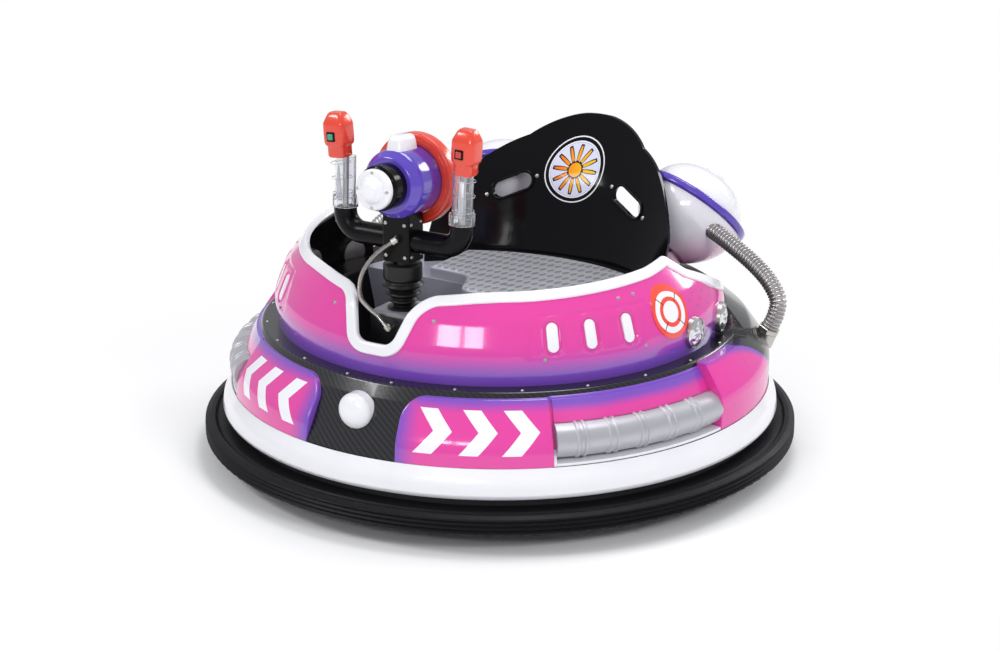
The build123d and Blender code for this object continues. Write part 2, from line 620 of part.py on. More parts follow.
# ---- control column --------------------------------------------------------------------------
PX, PY, PZ = PIVOT
PIN_R = 4.0
EAR_IN, EAR_OUT, EAR_HALF = 13.0, 18.0, 8.0     # ears of the two yokes, beside the pivot
STALK_TOP = PZ - 20
HEAD_Z, HEAD_X, HEAD_Y = 543.0, 34.0, 28.0      # bottom and half sizes of the block on the column
BAR_R, BAR_Z, BAR_Y, BAR_END = 25.0, 588.0, -405.0, 641.0
GRIP_R, COLLAR_R = 22.5, 28.0
RING_R, BARREL_R, CORE_R, NOZZLE_R = 100.0, 75.0, 49.0, 44.0


def bellows():
    """Rubber boot between the console and the column."""
    rings = ((34, 0), (34, 4), (22, 7), (24, 12), (33, 19), (27, 26), (38, 35), (31, 43),
             (45.5, 54), (38, 64), (42.5, 70), (42.5, 92))
    line = [(r, CONSOLE_TOP + h) for r, h in rings]
    inner = [(r - 4, z) for r, z in line]
    return Pos(PX, PY, 0) * revolve(poly(*line, *reversed(inner)), axis=Axis.Z)


def column_base():
    """Fixed stalk with the lower yoke."""
    base = rod((PX, PY, CONSOLE_TOP), (PX, PY, STALK_TOP), 12)
    base += rod((PX, PY, STALK_TOP - 5), (PX, PY, STALK_TOP), 19)
    for s in SIDES:
        x0, x1 = sorted((s * EAR_IN, s * EAR_OUT))
        base += box((x0, x1), (PY - EAR_HALF, PY + EAR_HALF), (STALK_TOP - 1, PZ + EAR_HALF))
    return base - rod((-EAR_OUT - 1, PY, PZ), (EAR_OUT + 1, PY, PZ), PIN_R + RUN)


def gimbal():
    cross = box((-EAR_HALF, EAR_HALF), (PY - EAR_HALF, PY + EAR_HALF), (PZ - 7, PZ + 7))
    cross += rod((-EAR_OUT, PY, PZ), (EAR_OUT, PY, PZ), PIN_R)
    return cross + rod((PX, PY - EAR_OUT, PZ), (PX, PY + EAR_OUT, PZ), PIN_R)


def gun_plane(reach):
    """Plane across the barrel, a distance in front of the middle of its rear ring."""
    pitch = radians(BARREL_PITCH)
    forward = Vector(0, -cos(pitch), sin(pitch))
    return Plane(origin=Vector(0, -348, 712) + forward * reach, x_dir=(1, 0, 0), z_dir=forward)


def lathe(plane, face):
    return plane * revolve(face, axis=Axis.Z)


barrel_line = [(0, -14), (60, -14), (60, -19), (BARREL_R, -19), (BARREL_R, 84), (62, 112), (CORE_R, 112)]
barrel = lathe(gun_plane(0), closed(FilletPolyline(*barrel_line, (CORE_R, 90), (0, 90),
                                                   radius=[0, 0, 0, 0, 24, 6, 0, 0, 0], close=True)))
ring = lathe(gun_plane(0), closed(FilletPolyline((BARREL_R, -19), (RING_R, -19), (RING_R, 19), (BARREL_R, 19),
                                                 radius=[0, 12, 12, 0], close=True)))
core = lathe(gun_plane(0), closed(FilletPolyline((0, 90), (CORE_R, 90), (CORE_R, 150),
                                                 (CORE_R - 12, 158), (0, 158),
                                                 radius=[0, 0, 4, 4, 0], close=True)))
nozzle = gun_plane(0) * (Pos(0, 0, 158) * Cylinder(NOZZLE_R, 14, align=low_align)
                         + Pos(0, 0, 168) * (Sphere(31) & Pos(0, 0, 20) * Box(80, 80, 40)))
barrel_core = gun_plane(-19) * Cylinder(BARREL_R, 140, align=low_align)
cap = gun_plane(66) * (Pos(0, BARREL_R, 0) * Box(40, 26, 74))
cap = fillet(cap.edges(), 7) - barrel_core
head = box((-HEAD_X, HEAD_X), (PY - HEAD_Y, PY + HEAD_Y + 6), (HEAD_Z, 670))
head = fillet(head.edges().filter_by(Axis.Z), 6)
bar_path = FilletPolyline((-GRIP_X, BAR_Y, BAR_END), (-GRIP_X, BAR_Y, BAR_Z), (GRIP_X, BAR_Y, BAR_Z),
                          (GRIP_X, BAR_Y, BAR_END), radius=45)
bar = swept(bar_path, BAR_R)
head = head - barrel_core - bar
head = head.solids().sort_by(SortBy.VOLUME)[-1]
post = rod((PX, PY, PZ + 20), (PX, PY, HEAD_Z), 12) + rod((PX, PY, PZ + 20), (PX, PY, PZ + 26), 19)
for s in SIDES:
    y0, y1 = sorted((s * EAR_IN, s * EAR_OUT))
    post += box((-EAR_HALF, EAR_HALF), (PY + y0, PY + y1), (PZ - EAR_HALF, PZ + 22))
post -= rod((PX, PY - EAR_OUT - 1, PZ), (PX, PY + EAR_OUT + 1, PZ), PIN_R + RUN)

keep("column_base", column_base())
keep("bellows", bellows())
keep("gimbal_cross", gimbal())
keep("column_post", post)
keep("column_head", head)
keep("handlebar", bar)
keep("gun_barrel", barrel)
keep("gun_ring", ring)
keep("gun_core", core)
keep("gun_nozzle", nozzle)
keep("gun_cap", cap)


def grip(s):
    """Clear grip tube with its collar and core, and the faceted head on top."""
    lean = sin(radians(GRIP_LEAN))
    foot = Vector(s * GRIP_X, BAR_Y, BAR_END)
    up = Vector(0, lean, sqrt(1 - lean ** 2))
    plane = Plane(origin=foot, x_dir=(1, 0, 0), z_dir=up)
    length = 111.0
    sleeve = plane * (Cylinder(GRIP_R, length, align=low_align) + Cylinder(COLLAR_R, 24, align=low_align)
                      - Cylinder(GRIP_R - 3, length, align=low_align)) - bar
    core = plane * Cylinder(7, length, align=low_align) - bar
    outline = FilletPolyline((-22, 0), (22, 0), (33, 24), (33, 84), (24, 97), (-24, 97), (-33, 84), (-33, 24),
                             radius=4, close=True)
    top = extrude(Plane.XZ * make_face(outline), 23, both=True)
    profile = FilletPolyline((-18, -1), (18, -1), (23, 30), (23, 80), (12, 98), (-14, 98),
                             (-23, 84), (-23, 30), radius=4, close=True)
    top = top & extrude(Plane.YZ * make_face(profile), 40, both=True)
    top -= Pos(0, -23, 68) * Box(24, 5, 24)
    return sleeve, core, plane * Pos(0, 0, length) * top


for s in SIDES:
    sleeve, core_rod, top = grip(s)
    keep("grips", sleeve)
    keep("grip_cores", core_rod)
    keep("grip_heads", top)

CONDUIT = [(0, -448, 590), (-18, -462, 575), (-38, -473, 553), (-54, -480, 525), (-61, -484, 495),
           (-56, -488, 468), (-36, -490, 450), (-12, -489, 434), (4, -484, 414)]
CONDUIT_R = 5.5


def fitting(point, towards, seat, clear):
    """Ferrule on the conduit's end with a stub to what carries it."""
    a = Vector(*point)
    d = (Vector(*towards) - a).normalized()
    piece = rod(a, a - d * 12, 8) + rod(a - d * 9, seat, 6)
    for shape in clear:
        piece -= shape
    return piece.solids().sort_by(SortBy.VOLUME)[-1]


keep("conduit", routed(CONDUIT, CONDUIT_R))
keep("conduit_foot", fitting(CONDUIT[-1], CONDUIT[-2], (8, -455, 404), NODES["console"]))
held_by = NODES["column_head"] + NODES["handlebar"]
keep("conduit_head", fitting(CONDUIT[0], CONDUIT[1], (0, -424, 602), held_by))

for radius, route in ((CONDUIT_R, CONDUIT), (HOSE_R, HOSE)):
    print("bend radii", [round(r) for r in bend_radii(route)], "diameter", 2 * radius)
for name, solids in NODES.items():
    export_step(Compound(children=solids) if len(solids) > 1 else solids[0], f"parts/{name}.step")
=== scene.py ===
"""Looks of the round bumper car: finishes of every part, smooth body shells, hoses, lamps and trim.

Metres, +Z up. The front of the car faces -Y and its left side is +X.
"""
import json
from math import atan2, ceil, copysign, cos, degrees, hypot, pi, radians, sin, sqrt, tan

import bmesh
import bpy
from mathutils import Matrix, Vector

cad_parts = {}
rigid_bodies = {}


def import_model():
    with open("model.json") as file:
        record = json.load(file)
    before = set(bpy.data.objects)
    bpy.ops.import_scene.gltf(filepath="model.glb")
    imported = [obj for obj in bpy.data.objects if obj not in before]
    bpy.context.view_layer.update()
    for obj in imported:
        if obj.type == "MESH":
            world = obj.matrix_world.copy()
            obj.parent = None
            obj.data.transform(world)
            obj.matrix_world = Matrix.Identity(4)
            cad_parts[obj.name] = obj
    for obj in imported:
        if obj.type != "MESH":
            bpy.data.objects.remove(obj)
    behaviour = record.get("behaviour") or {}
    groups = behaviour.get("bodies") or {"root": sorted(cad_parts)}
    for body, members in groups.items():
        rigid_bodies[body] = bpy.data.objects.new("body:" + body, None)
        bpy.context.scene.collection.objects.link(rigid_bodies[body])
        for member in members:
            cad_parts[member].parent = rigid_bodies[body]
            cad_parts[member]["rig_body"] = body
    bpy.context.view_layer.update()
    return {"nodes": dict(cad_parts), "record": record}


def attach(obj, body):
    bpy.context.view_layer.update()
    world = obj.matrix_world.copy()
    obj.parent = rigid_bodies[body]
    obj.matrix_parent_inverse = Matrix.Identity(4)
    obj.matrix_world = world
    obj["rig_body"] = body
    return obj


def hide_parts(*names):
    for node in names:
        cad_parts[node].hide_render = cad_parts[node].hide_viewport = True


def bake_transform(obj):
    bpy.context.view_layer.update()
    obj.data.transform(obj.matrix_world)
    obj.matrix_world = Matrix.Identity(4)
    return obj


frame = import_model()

NODES = frame["nodes"]
RECORD_SLOTS = {entry["node"]: entry["material_slot"] for entry in frame["record"]["subparts"]}
BODY_OF = {node_name: node_object["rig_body"] for node_name, node_object in NODES.items()}

# ---- sizes taken over from the construction -----------------------------------------------------
SKIN = 0.006
SHELL_LINE = [(0.520, 0.312), (0.529, 0.378), (0.500, 0.448), (0.425, 0.532)]
SHELL_ROUND = [0.090, 0.060]
SHELL_END = 110.5
SKIRT_LINE = [(0.632, 0.171), (0.575, 0.284), (0.556, 0.312), (0.468, 0.312)]
NOTCH = [(0.0, 0.386), (0.043, 0.386), (0.077, 0.486), (0.190, 0.499), (0.290, 0.503), (0.620, 0.532)]
NOTCH_ROUND = [0.034, 0.070, 0.200, 0.200]
RIM = [(-0.62, 0.500), (-0.356, 0.502), (-0.106, 0.513), (-0.026, 0.522), (0.018, 0.485), (0.100, 0.450),
       (0.270, 0.380), (0.385, 0.336), (0.620, 0.328)]
RIM_ROUND = [0.400, 0.200, 0.022, 0.030, 0.200, 0.300, 0.300]
JOIN_X = 0.27                             # where the front rim hands over to the side rim
SHELL_FOOT = SHELL_LINE[0][1]
TRIM_W = 0.026
VENTS = (43.6, 53.2, 63.5)
VENT_Z, VENT_W, VENT_H = 0.415, 0.038, 0.070
VENT_PLATE_W, VENT_PLATE_H = 0.025, 0.060
DISC_B, DISC_Z, DISC_R = 77.7, 0.424, 0.056
LAMPS = ((85.5, 0.362), (103.0, 0.352))
PANEL_SPAN = (10.4, 41.4)
RECESS_SPAN = (42.0, 95.0)
COWL_FRONT = 95.6
PIPE_RING_R, PIPE_Z = 0.5975, 0.2170      # centre line of the pipe covers: radius round the car, height
PIPE_END, PIPE_COVER_R = 81.0, 0.0375
PIPE_RIBS = (47.0, 53.6, 60.3, 67.0, 74.0)
SEAT_Y, SEAT_R = -0.200, 0.500
BADGE_X, BADGE_Z = -0.012, 0.573
PIVOT = Vector((0.0, -0.408, 0.476))
HOSE = [(306, 408, 484), (371, 385, 468), (431, 365, 445), (491, 345, 418), (541, 325, 388), (572, 310, 352),
        (572, 303, 316), (560, 300, 284)]
CONDUIT = [(0, -448, 590), (-18, -462, 575), (-38, -473, 553), (-54, -480, 525), (-61, -484, 495),
           (-56, -488, 468), (-36, -490, 450), (-12, -489, 434), (4, -484, 414)]
SIDES = (-1, 1)


def metres(route):
    """Points of a route that is listed in millimetres."""
    return [Vector(p) / 1000 for p in route]


# ---- camera, light and floor --------------------------------------------------------------------
EYE = Vector((2.3333, -3.8787, 1.7727))
LOOK_AT = Vector((0.0, 0.0, 0.4))
LENS, SENSOR = 72.51, 36
DROP = 0.02449                            # how far below LOOK_AT the camera aims, as a slope
LIT_POINT = Vector((0, 0, 0.35))
SKY, SKY_POWER = (0.93, 0.94, 0.97, 1), 0.54
FLOOR_HALF = 9
# name, place, width, height, power, whether gloss mirrors it
LIGHTS = (
    ("key", (-2.6, -3.0, 3.6), 1.5, 0.9, 62, True),
    ("fill", (3.8, -1.6, 2.6), 1.3, 0.8, 54, False),
    ("top", (0.3, 0.6, 4.2), 2.4, 1.4, 60, True),
    ("back", (1.5, 3.8, 2.4), 1.6, 1.0, 44, True),
    ("window_left", (0.48, -4.41, 2.23), 0.85, 0.5, 15, True),
    ("window_right", (1.41, -4.22, 2.23), 0.7, 0.5, 12, True),
)


def studio():
    """Camera, soft lights, pale world and floor."""
    camera_data = bpy.data.cameras.new("camera")
    camera_data.lens = LENS
    camera_data.sensor_width = SENSOR
    camera = bpy.data.objects.new("camera", camera_data)
    bpy.context.scene.collection.objects.link(camera)
    forward = (LOOK_AT - EYE).normalized()
    right = forward.cross(Vector((0, 0, 1))).normalized()
    up = right.cross(forward)
    aim = (forward - up * DROP).normalized()
    camera.location = EYE
    camera.rotation_euler = aim.to_track_quat("-Z", "Y").to_euler()
    bpy.context.scene.camera = camera
    scene = bpy.context.scene
    scene.view_settings.view_transform = "Standard"
    for name, place, wide, high, power, mirrored_in_gloss in LIGHTS:
        data = bpy.data.lights.new(name, "AREA")
        data.shape = "RECTANGLE"
        data.size = wide
        data.size_y = high
        data.energy = power
        light = bpy.data.objects.new(name, data)
        light.location = place
        light.rotation_euler = (LIT_POINT - Vector(place)).to_track_quat("-Z", "Y").to_euler()
        light.visible_glossy = mirrored_in_gloss
        scene.collection.objects.link(light)
    world = bpy.data.worlds.new("studio")
    scene.world = world
    world.use_nodes = True
    sky = world.node_tree.nodes["Background"]
    sky.inputs["Color"].default_value = SKY
    sky.inputs["Strength"].default_value = SKY_POWER
    corners = [(x * FLOOR_HALF, y * FLOOR_HALF, 0) for x, y in ((-1, -1), (1, -1), (1, 1), (-1, 1))]
    floor = mesh_object("floor", corners, [(0, 1, 2, 3)])
    floor.data.materials.append(floor_paint())


# ---- shader expressions -------------------------------------------------------------------------
class Field:
    """A number that varies over a surface. Arithmetic on it adds Math nodes."""

    def __init__(self, paint, socket):
        self.paint = paint
        self.socket = socket

    def _math(self, operation, *values):
        return self.paint.node("ShaderNodeMath", {"operation": operation}, *values)

    def __add__(self, other):
        return self._math("ADD", self, other)

    __radd__ = __add__

    def __sub__(self, other):
        return self._math("SUBTRACT", self, other)

    def __rsub__(self, other):
        return self._math("SUBTRACT", other, self)

    def __mul__(self, other):
        return self._math("MULTIPLY", self, other)

    __rmul__ = __mul__

    def __truediv__(self, other):
        return self._math("DIVIDE", self, other)

    def __rtruediv__(self, other):
        return self._math("DIVIDE", other, self)

    def __pow__(self, other):
        return self._math("POWER", self, other)

    def __mod__(self, other):
        return self._math("FLOORED_MODULO", self, other)

    def __abs__(self):
        return self._math("ABSOLUTE", self)

    def __lt__(self, other):
        return self._math("LESS_THAN", self, other)

    def __gt__(self, other):
        return self._math("GREATER_THAN", self, other)

    def floor(self):
        return self._math("FLOOR", self)

    def sine(self):
        return self._math("SINE", self)

    def most(self, other):
        return self._math("MAXIMUM", self, other)

    def least(self, other):
        return self._math("MINIMUM", self, other)

    def arctan2(self, other):
        return self._math("ARCTAN2", self, other)

    def ramp(self, low, high):
        """0 below low, 1 above high, smooth between."""
        smooth = {"interpolation_type": "SMOOTHSTEP"}
        return self.paint.node("ShaderNodeMapRange", smooth, self, low, high, 0.0, 1.0)


def any_of(masks):
    """1 where any of the masks is 1."""
    found = masks[0]
    for mask in masks[1:]:
        found = found.most(mask)
    return found


def distance(*parts):
    """Length of a vector whose parts vary."""
    squares = [part * part for part in parts]
    total = squares[0]
    for square in squares[1:]:
        total = total + square
    return total ** 0.5


class Paint:
    """A material whose nodes are written as expressions."""

    def __init__(self, name):
        self.material = bpy.data.materials.new(name)
        self.material.use_nodes = True
        self.tree = self.material.node_tree
        self.tree.nodes.clear()
        self.shader = self.tree.nodes.new("ShaderNodeBsdfPrincipled")
        self.output = self.tree.nodes.new("ShaderNodeOutputMaterial")
        self.tree.links.new(self.shader.outputs[0], self.output.inputs[0])
        self.place = self.tree.nodes.new("ShaderNodeTexCoord").outputs["Object"]

    def node(self, kind, settings, *values, out=0, **named):
        """Any node: its settings, then the values or links of its sockets in order or by name."""
        made = self.tree.nodes.new(kind)
        for key, value in settings.items():
            if key == "stops":
                ramp = made.color_ramp
                while len(ramp.elements) < len(value):
                    ramp.elements.new(1.0)
                for element, (position, colour) in zip(ramp.elements, value):
                    element.position = position
                    element.color = (*colour, 1)
            else:
                setattr(made, key, value)
        pairs = list(enumerate(values)) + [(key.replace("_", " "), value) for key, value in named.items()]
        for key, value in pairs:
            self.feed(made.inputs[key], value)
        return Field(self, made.outputs[out])

    def feed(self, socket, value):
        if isinstance(value, Field):
            self.tree.links.new(value.socket, socket)
        elif isinstance(value, bpy.types.NodeSocket):
            self.tree.links.new(value, socket)
        elif hasattr(value, "__len__") and len(value) == 3 and socket.type == "RGBA":
            socket.default_value = (*value, 1)
        else:
            socket.default_value = value

    def axes(self):
        split = self.tree.nodes.new("ShaderNodeSeparateXYZ")
        self.tree.links.new(self.place, split.inputs[0])
        return [Field(self, split.outputs[k]) for k in range(3)]

    def bearing(self):
        """Degrees from the front towards either side."""
        x, y, _ = self.axes()
        return abs(x).arctan2(0 - y) * (180 / pi)

    def noise(self, scale, detail=2.0, roughness=0.5):
        return self.node("ShaderNodeTexNoise", {}, Vector=self.place, Scale=scale, Detail=detail,
                         Roughness=roughness)

    def mix(self, factor, a, b):
        """Colour a where the factor is 0 and b where it is 1."""
        made = self.tree.nodes.new("ShaderNodeMix")
        made.data_type = "RGBA"
        self.feed(made.inputs[0], factor)
        self.feed(made.inputs[6], a)
        self.feed(made.inputs[7], b)
        return Field(self, made.outputs[2])

    def bump(self, height, strength, distance):
        return self.node("ShaderNodeBump", {}, Height=height, Strength=strength, Distance=distance)

    def set(self, **values):
        """Feeds the shader's sockets. A plain number or colour goes on the socket itself."""
        for key, value in values.items():
            self.feed(self.shader.inputs[key.replace("_", " ")], value)
        return self


PINK = (0.74, 0.045, 0.34)
VIOLET = (0.19, 0.070, 0.50)
WHITE = (0.86, 0.86, 0.91)


def floor_paint():
    """Pale floor that takes the car's shadow and turns to plain white further out."""
    paint = Paint("floor")
    light = paint.tree.nodes.new("ShaderNodeLightPath")
    seen = any_of([Field(paint, light.outputs[f"Is {kind} Ray"]) for kind in ("Camera", "Glossy", "Transmission")])
    paint.set(Base_Color=(0.93, 0.93, 0.94), Roughness=0.9, Specular_IOR_Level=0.1)
    glow = paint.tree.nodes.new("ShaderNodeEmission")
    x, y, _ = paint.axes()
    white = paint.tree.nodes.new("ShaderNodeMixShader")
    paint.feed(white.inputs[0], seen * distance(x, y).ramp(0.72, 1.5))
    paint.tree.links.new(paint.shader.outputs[0], white.inputs[1])
    paint.tree.links.new(glow.outputs[0], white.inputs[2])
    paint.tree.links.new(white.outputs[0], paint.output.inputs[0])
    return paint.material


def gloss(name, colour, roughness=0.16, variation=0.05, metallic=0.0, coat=0.6, peel=0.0006, shine=0.5):
    """Gel coat or gloss moulding with a faint orange peel and faint unevenness."""
    paint = Paint(name)
    darker = tuple(c * (1 - 2 * variation) for c in colour)
    paint.set(Base_Color=paint.mix(paint.noise(7.0, 3.0), darker, colour), Metallic=metallic,
              Roughness=roughness + paint.noise(38.0) * 0.05,
              Normal=paint.bump(paint.noise(160.0, 1.0), 0.12, peel),
              Coat_Weight=coat, Coat_Roughness=0.06, Specular_IOR_Level=shine)
    return paint.material


def matt(name, colour, roughness=0.6, grain=300.0, depth=0.0006, variation=0.15, shine=0.5):
    """Moulded rubber or textured plastic."""
    paint = Paint(name)
    worn = paint.noise(9.0, 4.0)
    darker = tuple(c * (1 - 2 * variation) for c in colour)
    paint.set(Base_Color=paint.mix(worn, darker, colour), Roughness=roughness + worn * 0.15 - 0.07,
              Normal=paint.bump(paint.noise(grain, 2.0), 0.35, depth), Specular_IOR_Level=shine)
    return paint.material


def metal(name, colour, roughness=0.3):
    """Plain or plated metal with faint streaks."""
    paint = Paint(name)
    streaks = paint.noise(60.0, 4.0)
    paint.set(Base_Color=paint.mix(streaks, tuple(c * 0.82 for c in colour), colour), Metallic=1.0,
              Roughness=roughness + streaks * 0.1, Normal=paint.bump(paint.noise(220.0), 0.1, 0.0004))
    return paint.material


def twill(paint, pitch=0.0042):
    """Weave of the carbon cloth round the car: 0 and 1 on the two thread directions, and its relief."""
    x, y, z = paint.axes()
    around_car = x.arctan2(0 - y) * 0.6
    along = z * 1.12 + distance(x, y) * -0.55
    u, v = around_car / pitch, along / pitch
    step = ((u.floor() + v.floor()) % 4) < 2
    relief = ((u * (2 * pi)).sine() * step + (v * (2 * pi)).sine() * (1 - step)) * 0.5 + 0.5
    return step, relief


def carbon_colours(paint):
    """Colour and relief of the carbon cloth."""
    step, relief = twill(paint)
    return paint.mix(step, (0.002, 0.002, 0.003), (0.016, 0.017, 0.021)), relief


def carbon():
    paint = Paint("carbon_cloth")
    cloth, relief = carbon_colours(paint)
    paint.set(Base_Color=cloth, Roughness=0.22 + paint.noise(30.0) * 0.05,
              Normal=paint.bump(relief, 0.08, 0.0003),
              Specular_IOR_Level=0.3, Coat_Weight=0.25, Coat_Roughness=0.05)
    return paint.material


def body_gloss(paint, colour, roughness=0.14):
    """Thick clear coat over a painted pattern."""
    paint.set(Base_Color=colour, Roughness=roughness + paint.noise(30.0) * 0.05,
              Normal=paint.bump(paint.noise(160.0, 1.0), 0.1, 0.0005), Coat_Weight=0.8, Coat_Roughness=0.05)
    return paint.material


# rows of holes behind the lamps: bearing and height of the first, and the steps per level and per row
DOT_B, DOT_B_LEVEL, DOT_B_ROW = 90.6, 2.9, -2.3
DOT_Z, DOT_Z_LEVEL, DOT_Z_ROW = 0.4860, -0.0185, -0.0125
DOT_R, DOT_DEGREE = 0.0031, 0.0084        # DOT_DEGREE is one degree's length round the shell there


def shell_pink():
    """Upper shell: pink that fades to violet at its foot, with a speaker's dots towards the back."""
    paint = Paint("shell_pink")
    z = paint.axes()[2]
    height = z + paint.noise(6.0, 2.0) * 0.016
    colour = paint.mix(height.ramp(0.355, 0.44), (0.66, 0.045, 0.36), PINK)
    colour = paint.mix(height.ramp(0.334, 0.398), VIOLET, colour)
    b = paint.bearing()
    dots = []
    for row in range(4):
        for level in range(4):
            across = (b - (DOT_B + DOT_B_LEVEL * level + DOT_B_ROW * row)) * DOT_DEGREE
            up = z - (DOT_Z + DOT_Z_LEVEL * level + DOT_Z_ROW * row)
            dots.append(distance(across, up) < DOT_R)
    return body_gloss(paint, paint.mix(any_of(dots), colour, (0.16, 0.13, 0.22)))


CHEVRON_TIPS, CHEVRON_W, CHEVRON_LEAN = (21.6, 30.6, 38.9), 3.75, 84
CHEVRON_Z, CHEVRON_TOP, CHEVRON_LOW = 0.2425, 0.2825, 0.1975


def panel_pink():
    """Front panels: pink, violet along the top and the inner edge, with white chevrons."""
    paint = Paint("panel_pink")
    b, z = paint.bearing(), paint.axes()[2]
    cloud = paint.noise(8.0, 2.0) * 0.012
    edge = (b + cloud * 60).ramp(10.5, 16.0).least((0.300 - z + cloud).ramp(0.004, 0.034))
    span = b + abs(z - CHEVRON_Z) * CHEVRON_LEAN
    marks = any_of([(span < tip) * (span > tip - CHEVRON_W) * (z < CHEVRON_TOP) * (z > CHEVRON_LOW)
                    for tip in CHEVRON_TIPS])
    return body_gloss(paint, paint.mix(marks, paint.mix(edge, VIOLET, PINK), (0.88, 0.88, 0.93)))


def patch_height(b):
    """Top of the pink patch on either side, an arch that comes down behind the lamps."""
    along = ((b - 88.0) / 22.5).most(0.0).least(1.0)
    return (1 - along * along) ** 0.5 * 0.150 + 0.171


def cowl_paint():
    """Rear cowl: carbon cloth with a pink patch on each side that has a violet edge."""
    paint = Paint("cowl_paint")
    b, z = paint.bearing(), paint.axes()[2]
    cloth, relief = carbon_colours(paint)
    below = patch_height(b) - z
    colour = paint.mix(below > 0.0, cloth, paint.mix(below.ramp(0.002, 0.020), VIOLET, PINK))
    paint.set(Base_Color=colour, Roughness=0.16 + paint.noise(30.0) * 0.05,
              Normal=paint.bump(relief, 0.06, 0.0003), Coat_Weight=0.35, Coat_Roughness=0.05)
    return paint.material


def cover_paint():
    """Skirt: carbon cloth at the front and on the ledge; white and pink in the side recesses."""
    paint = Paint("cover_paint")
    b, z = paint.bearing(), paint.axes()[2]
    cloth, relief = carbon_colours(paint)
    side = (b > PANEL_SPAN[1]) * (b < COWL_FRONT + 14) * (z < 0.303)
    pink = paint.mix(z < 0.203, paint.mix(z.ramp(0.276, 0.298), PINK, VIOLET), WHITE)
    paint.set(Base_Color=paint.mix(side, cloth, pink), Roughness=0.2 + paint.noise(30.0) * 0.05,
              Normal=paint.bump(relief * (1 - side), 0.06, 0.0003), Coat_Weight=0.35, Coat_Roughness=0.05)
    return paint.material


def strip_pink():
    """Sloping strip over the ribbed pipe."""
    paint = Paint("strip_pink")
    z = paint.axes()[2]
    cloud = paint.noise(8.0, 2.0) * 0.008
    colour = paint.mix((z + cloud).ramp(0.272, 0.296), PINK, VIOLET)
    return body_gloss(paint, colour)


def target_paint():
    """Round sign on the shell: orange red and white rings with four short ticks."""
    paint = Paint("target_paint")
    x, y, z = paint.axes()
    b = radians(DISC_B)
    face_r = SHELL_AT(DISC_Z)
    dx = abs(x) - face_r * sin(b)
    dy = y + face_r * cos(b)
    dz = z - DISC_Z
    away = distance(dx, dy, dz)
    side = dx * cos(b) + dy * sin(b)
    colour = paint.mix((away > 0.034) * (away < 0.047), (0.85, 0.06, 0.03), WHITE)
    colour = paint.mix(away < 0.024, colour, WHITE)
    ticks = (abs(abs(side) - abs(dz)) < 0.0016) * (away > 0.027) * (away < 0.050)
    return body_gloss(paint, paint.mix(ticks, colour, (0.03, 0.02, 0.02)), 0.2)


def pan_silver():
    """Silver seat: a raised diamond weave on top, smooth on its sides."""
    paint = Paint("pan_silver")
    x, y, z = paint.axes()
    wander = paint.noise(18.0) * 0.25
    pitch, slant = 0.021, 0.55
    u, v = (x + y * slant) / pitch + wander, (x - y * slant) / pitch - wander
    top = z.ramp(0.3675, 0.3695)
    weave = 1 - ((u * pi).sine() * (v * pi).sine() * 2.2).most(0.0).least(1.0)
    woven = paint.mix(weave, (0.36, 0.36, 0.40), (0.60, 0.60, 0.65))
    paint.set(Base_Color=paint.mix(top, (0.44, 0.44, 0.53), woven), Metallic=top * 0.35 + 0.1,
              Roughness=0.34 + paint.noise(20.0) * 0.12, Normal=paint.bump(weave * top, 0.8, 0.0016),
              Coat_Weight=0.3)
    return paint.material


def pod_white():
    """Pod bowl: white with a pink blush low down."""
    paint = Paint("pod_white")
    z = paint.axes()[2]
    cloud = paint.noise(7.0, 2.0) * 0.03
    colour = paint.mix((z + cloud).ramp(0.40, 0.50), (0.86, 0.48, 0.70), (0.86, 0.84, 0.91))
    return body_gloss(paint, colour)


def clear_plastic():
    paint = Paint("clear_plastic")
    paint.set(Base_Color=(0.93, 0.95, 0.98), Roughness=0.06, Transmission_Weight=0.92, IOR=1.33,
              Normal=paint.bump(paint.noise(90.0), 0.15, 0.0008))
    return paint.material


def sun_mask(away, ray, hub, start, end, width, taper):
    """A disc with rays round it that run from start to end and narrow outwards."""
    return (away > start) * (away < end) * (ray < (width - away * taper)) + (away < hub)


def seat_gloss():
    """Seat back: gloss black with a round badge, a white disc with a twelve-rayed sun in two rings."""
    paint = Paint("seat_gloss")
    x, y, z = paint.axes()
    up = (z - BADGE_Z) * 1.06
    across = x - BADGE_X
    away = distance(across, up)
    turn = up.arctan2(across) * (12 / (2 * pi)) + 0.5
    ray = abs((turn % 1) - 0.5)
    sun = paint.mix((across * 7 + 0.5).ramp(0.0, 1.0), (0.88, 0.17, 0.01), (0.90, 0.58, 0.02))
    rays = sun_mask(away, ray, hub=0.017, start=0.022, end=0.056, width=0.42, taper=6.5)
    edge = sun_mask(away, ray, hub=0.020, start=0.019, end=0.060, width=0.50, taper=6.0)
    front = y < 0.52
    disc = paint.mix(edge.least(1), (0.66, 0.67, 0.84), (0.02, 0.015, 0.02))
    disc = paint.mix(rays.least(1), disc, sun)
    colour = paint.mix((away < 0.064) * front, (0.0035, 0.0035, 0.0045), disc)
    rings = (away > 0.0645) * (away < 0.068) + (away > 0.0765) * (away < 0.0795)
    paint.set(Base_Color=paint.mix(rings * front, colour, (0.80, 0.80, 0.86)),
              Roughness=0.07 + paint.noise(12.0) * 0.04,
              Normal=paint.bump(paint.noise(5.0, 3.0), 0.25, 0.006), Specular_IOR_Level=0.14)
    return paint.material


def console_grey():
    """Pedestal: grey plate on top, black sides."""
    paint = Paint("console_grey")
    top = paint.axes()[2].ramp(0.4290, 0.4305)
    paint.set(Base_Color=paint.mix(top, (0.010, 0.010, 0.012), (0.24, 0.24, 0.27)),
              Roughness=0.3 + paint.noise(30.0) * 0.08, Normal=paint.bump(paint.noise(180.0), 0.15, 0.0005))
    return paint.material


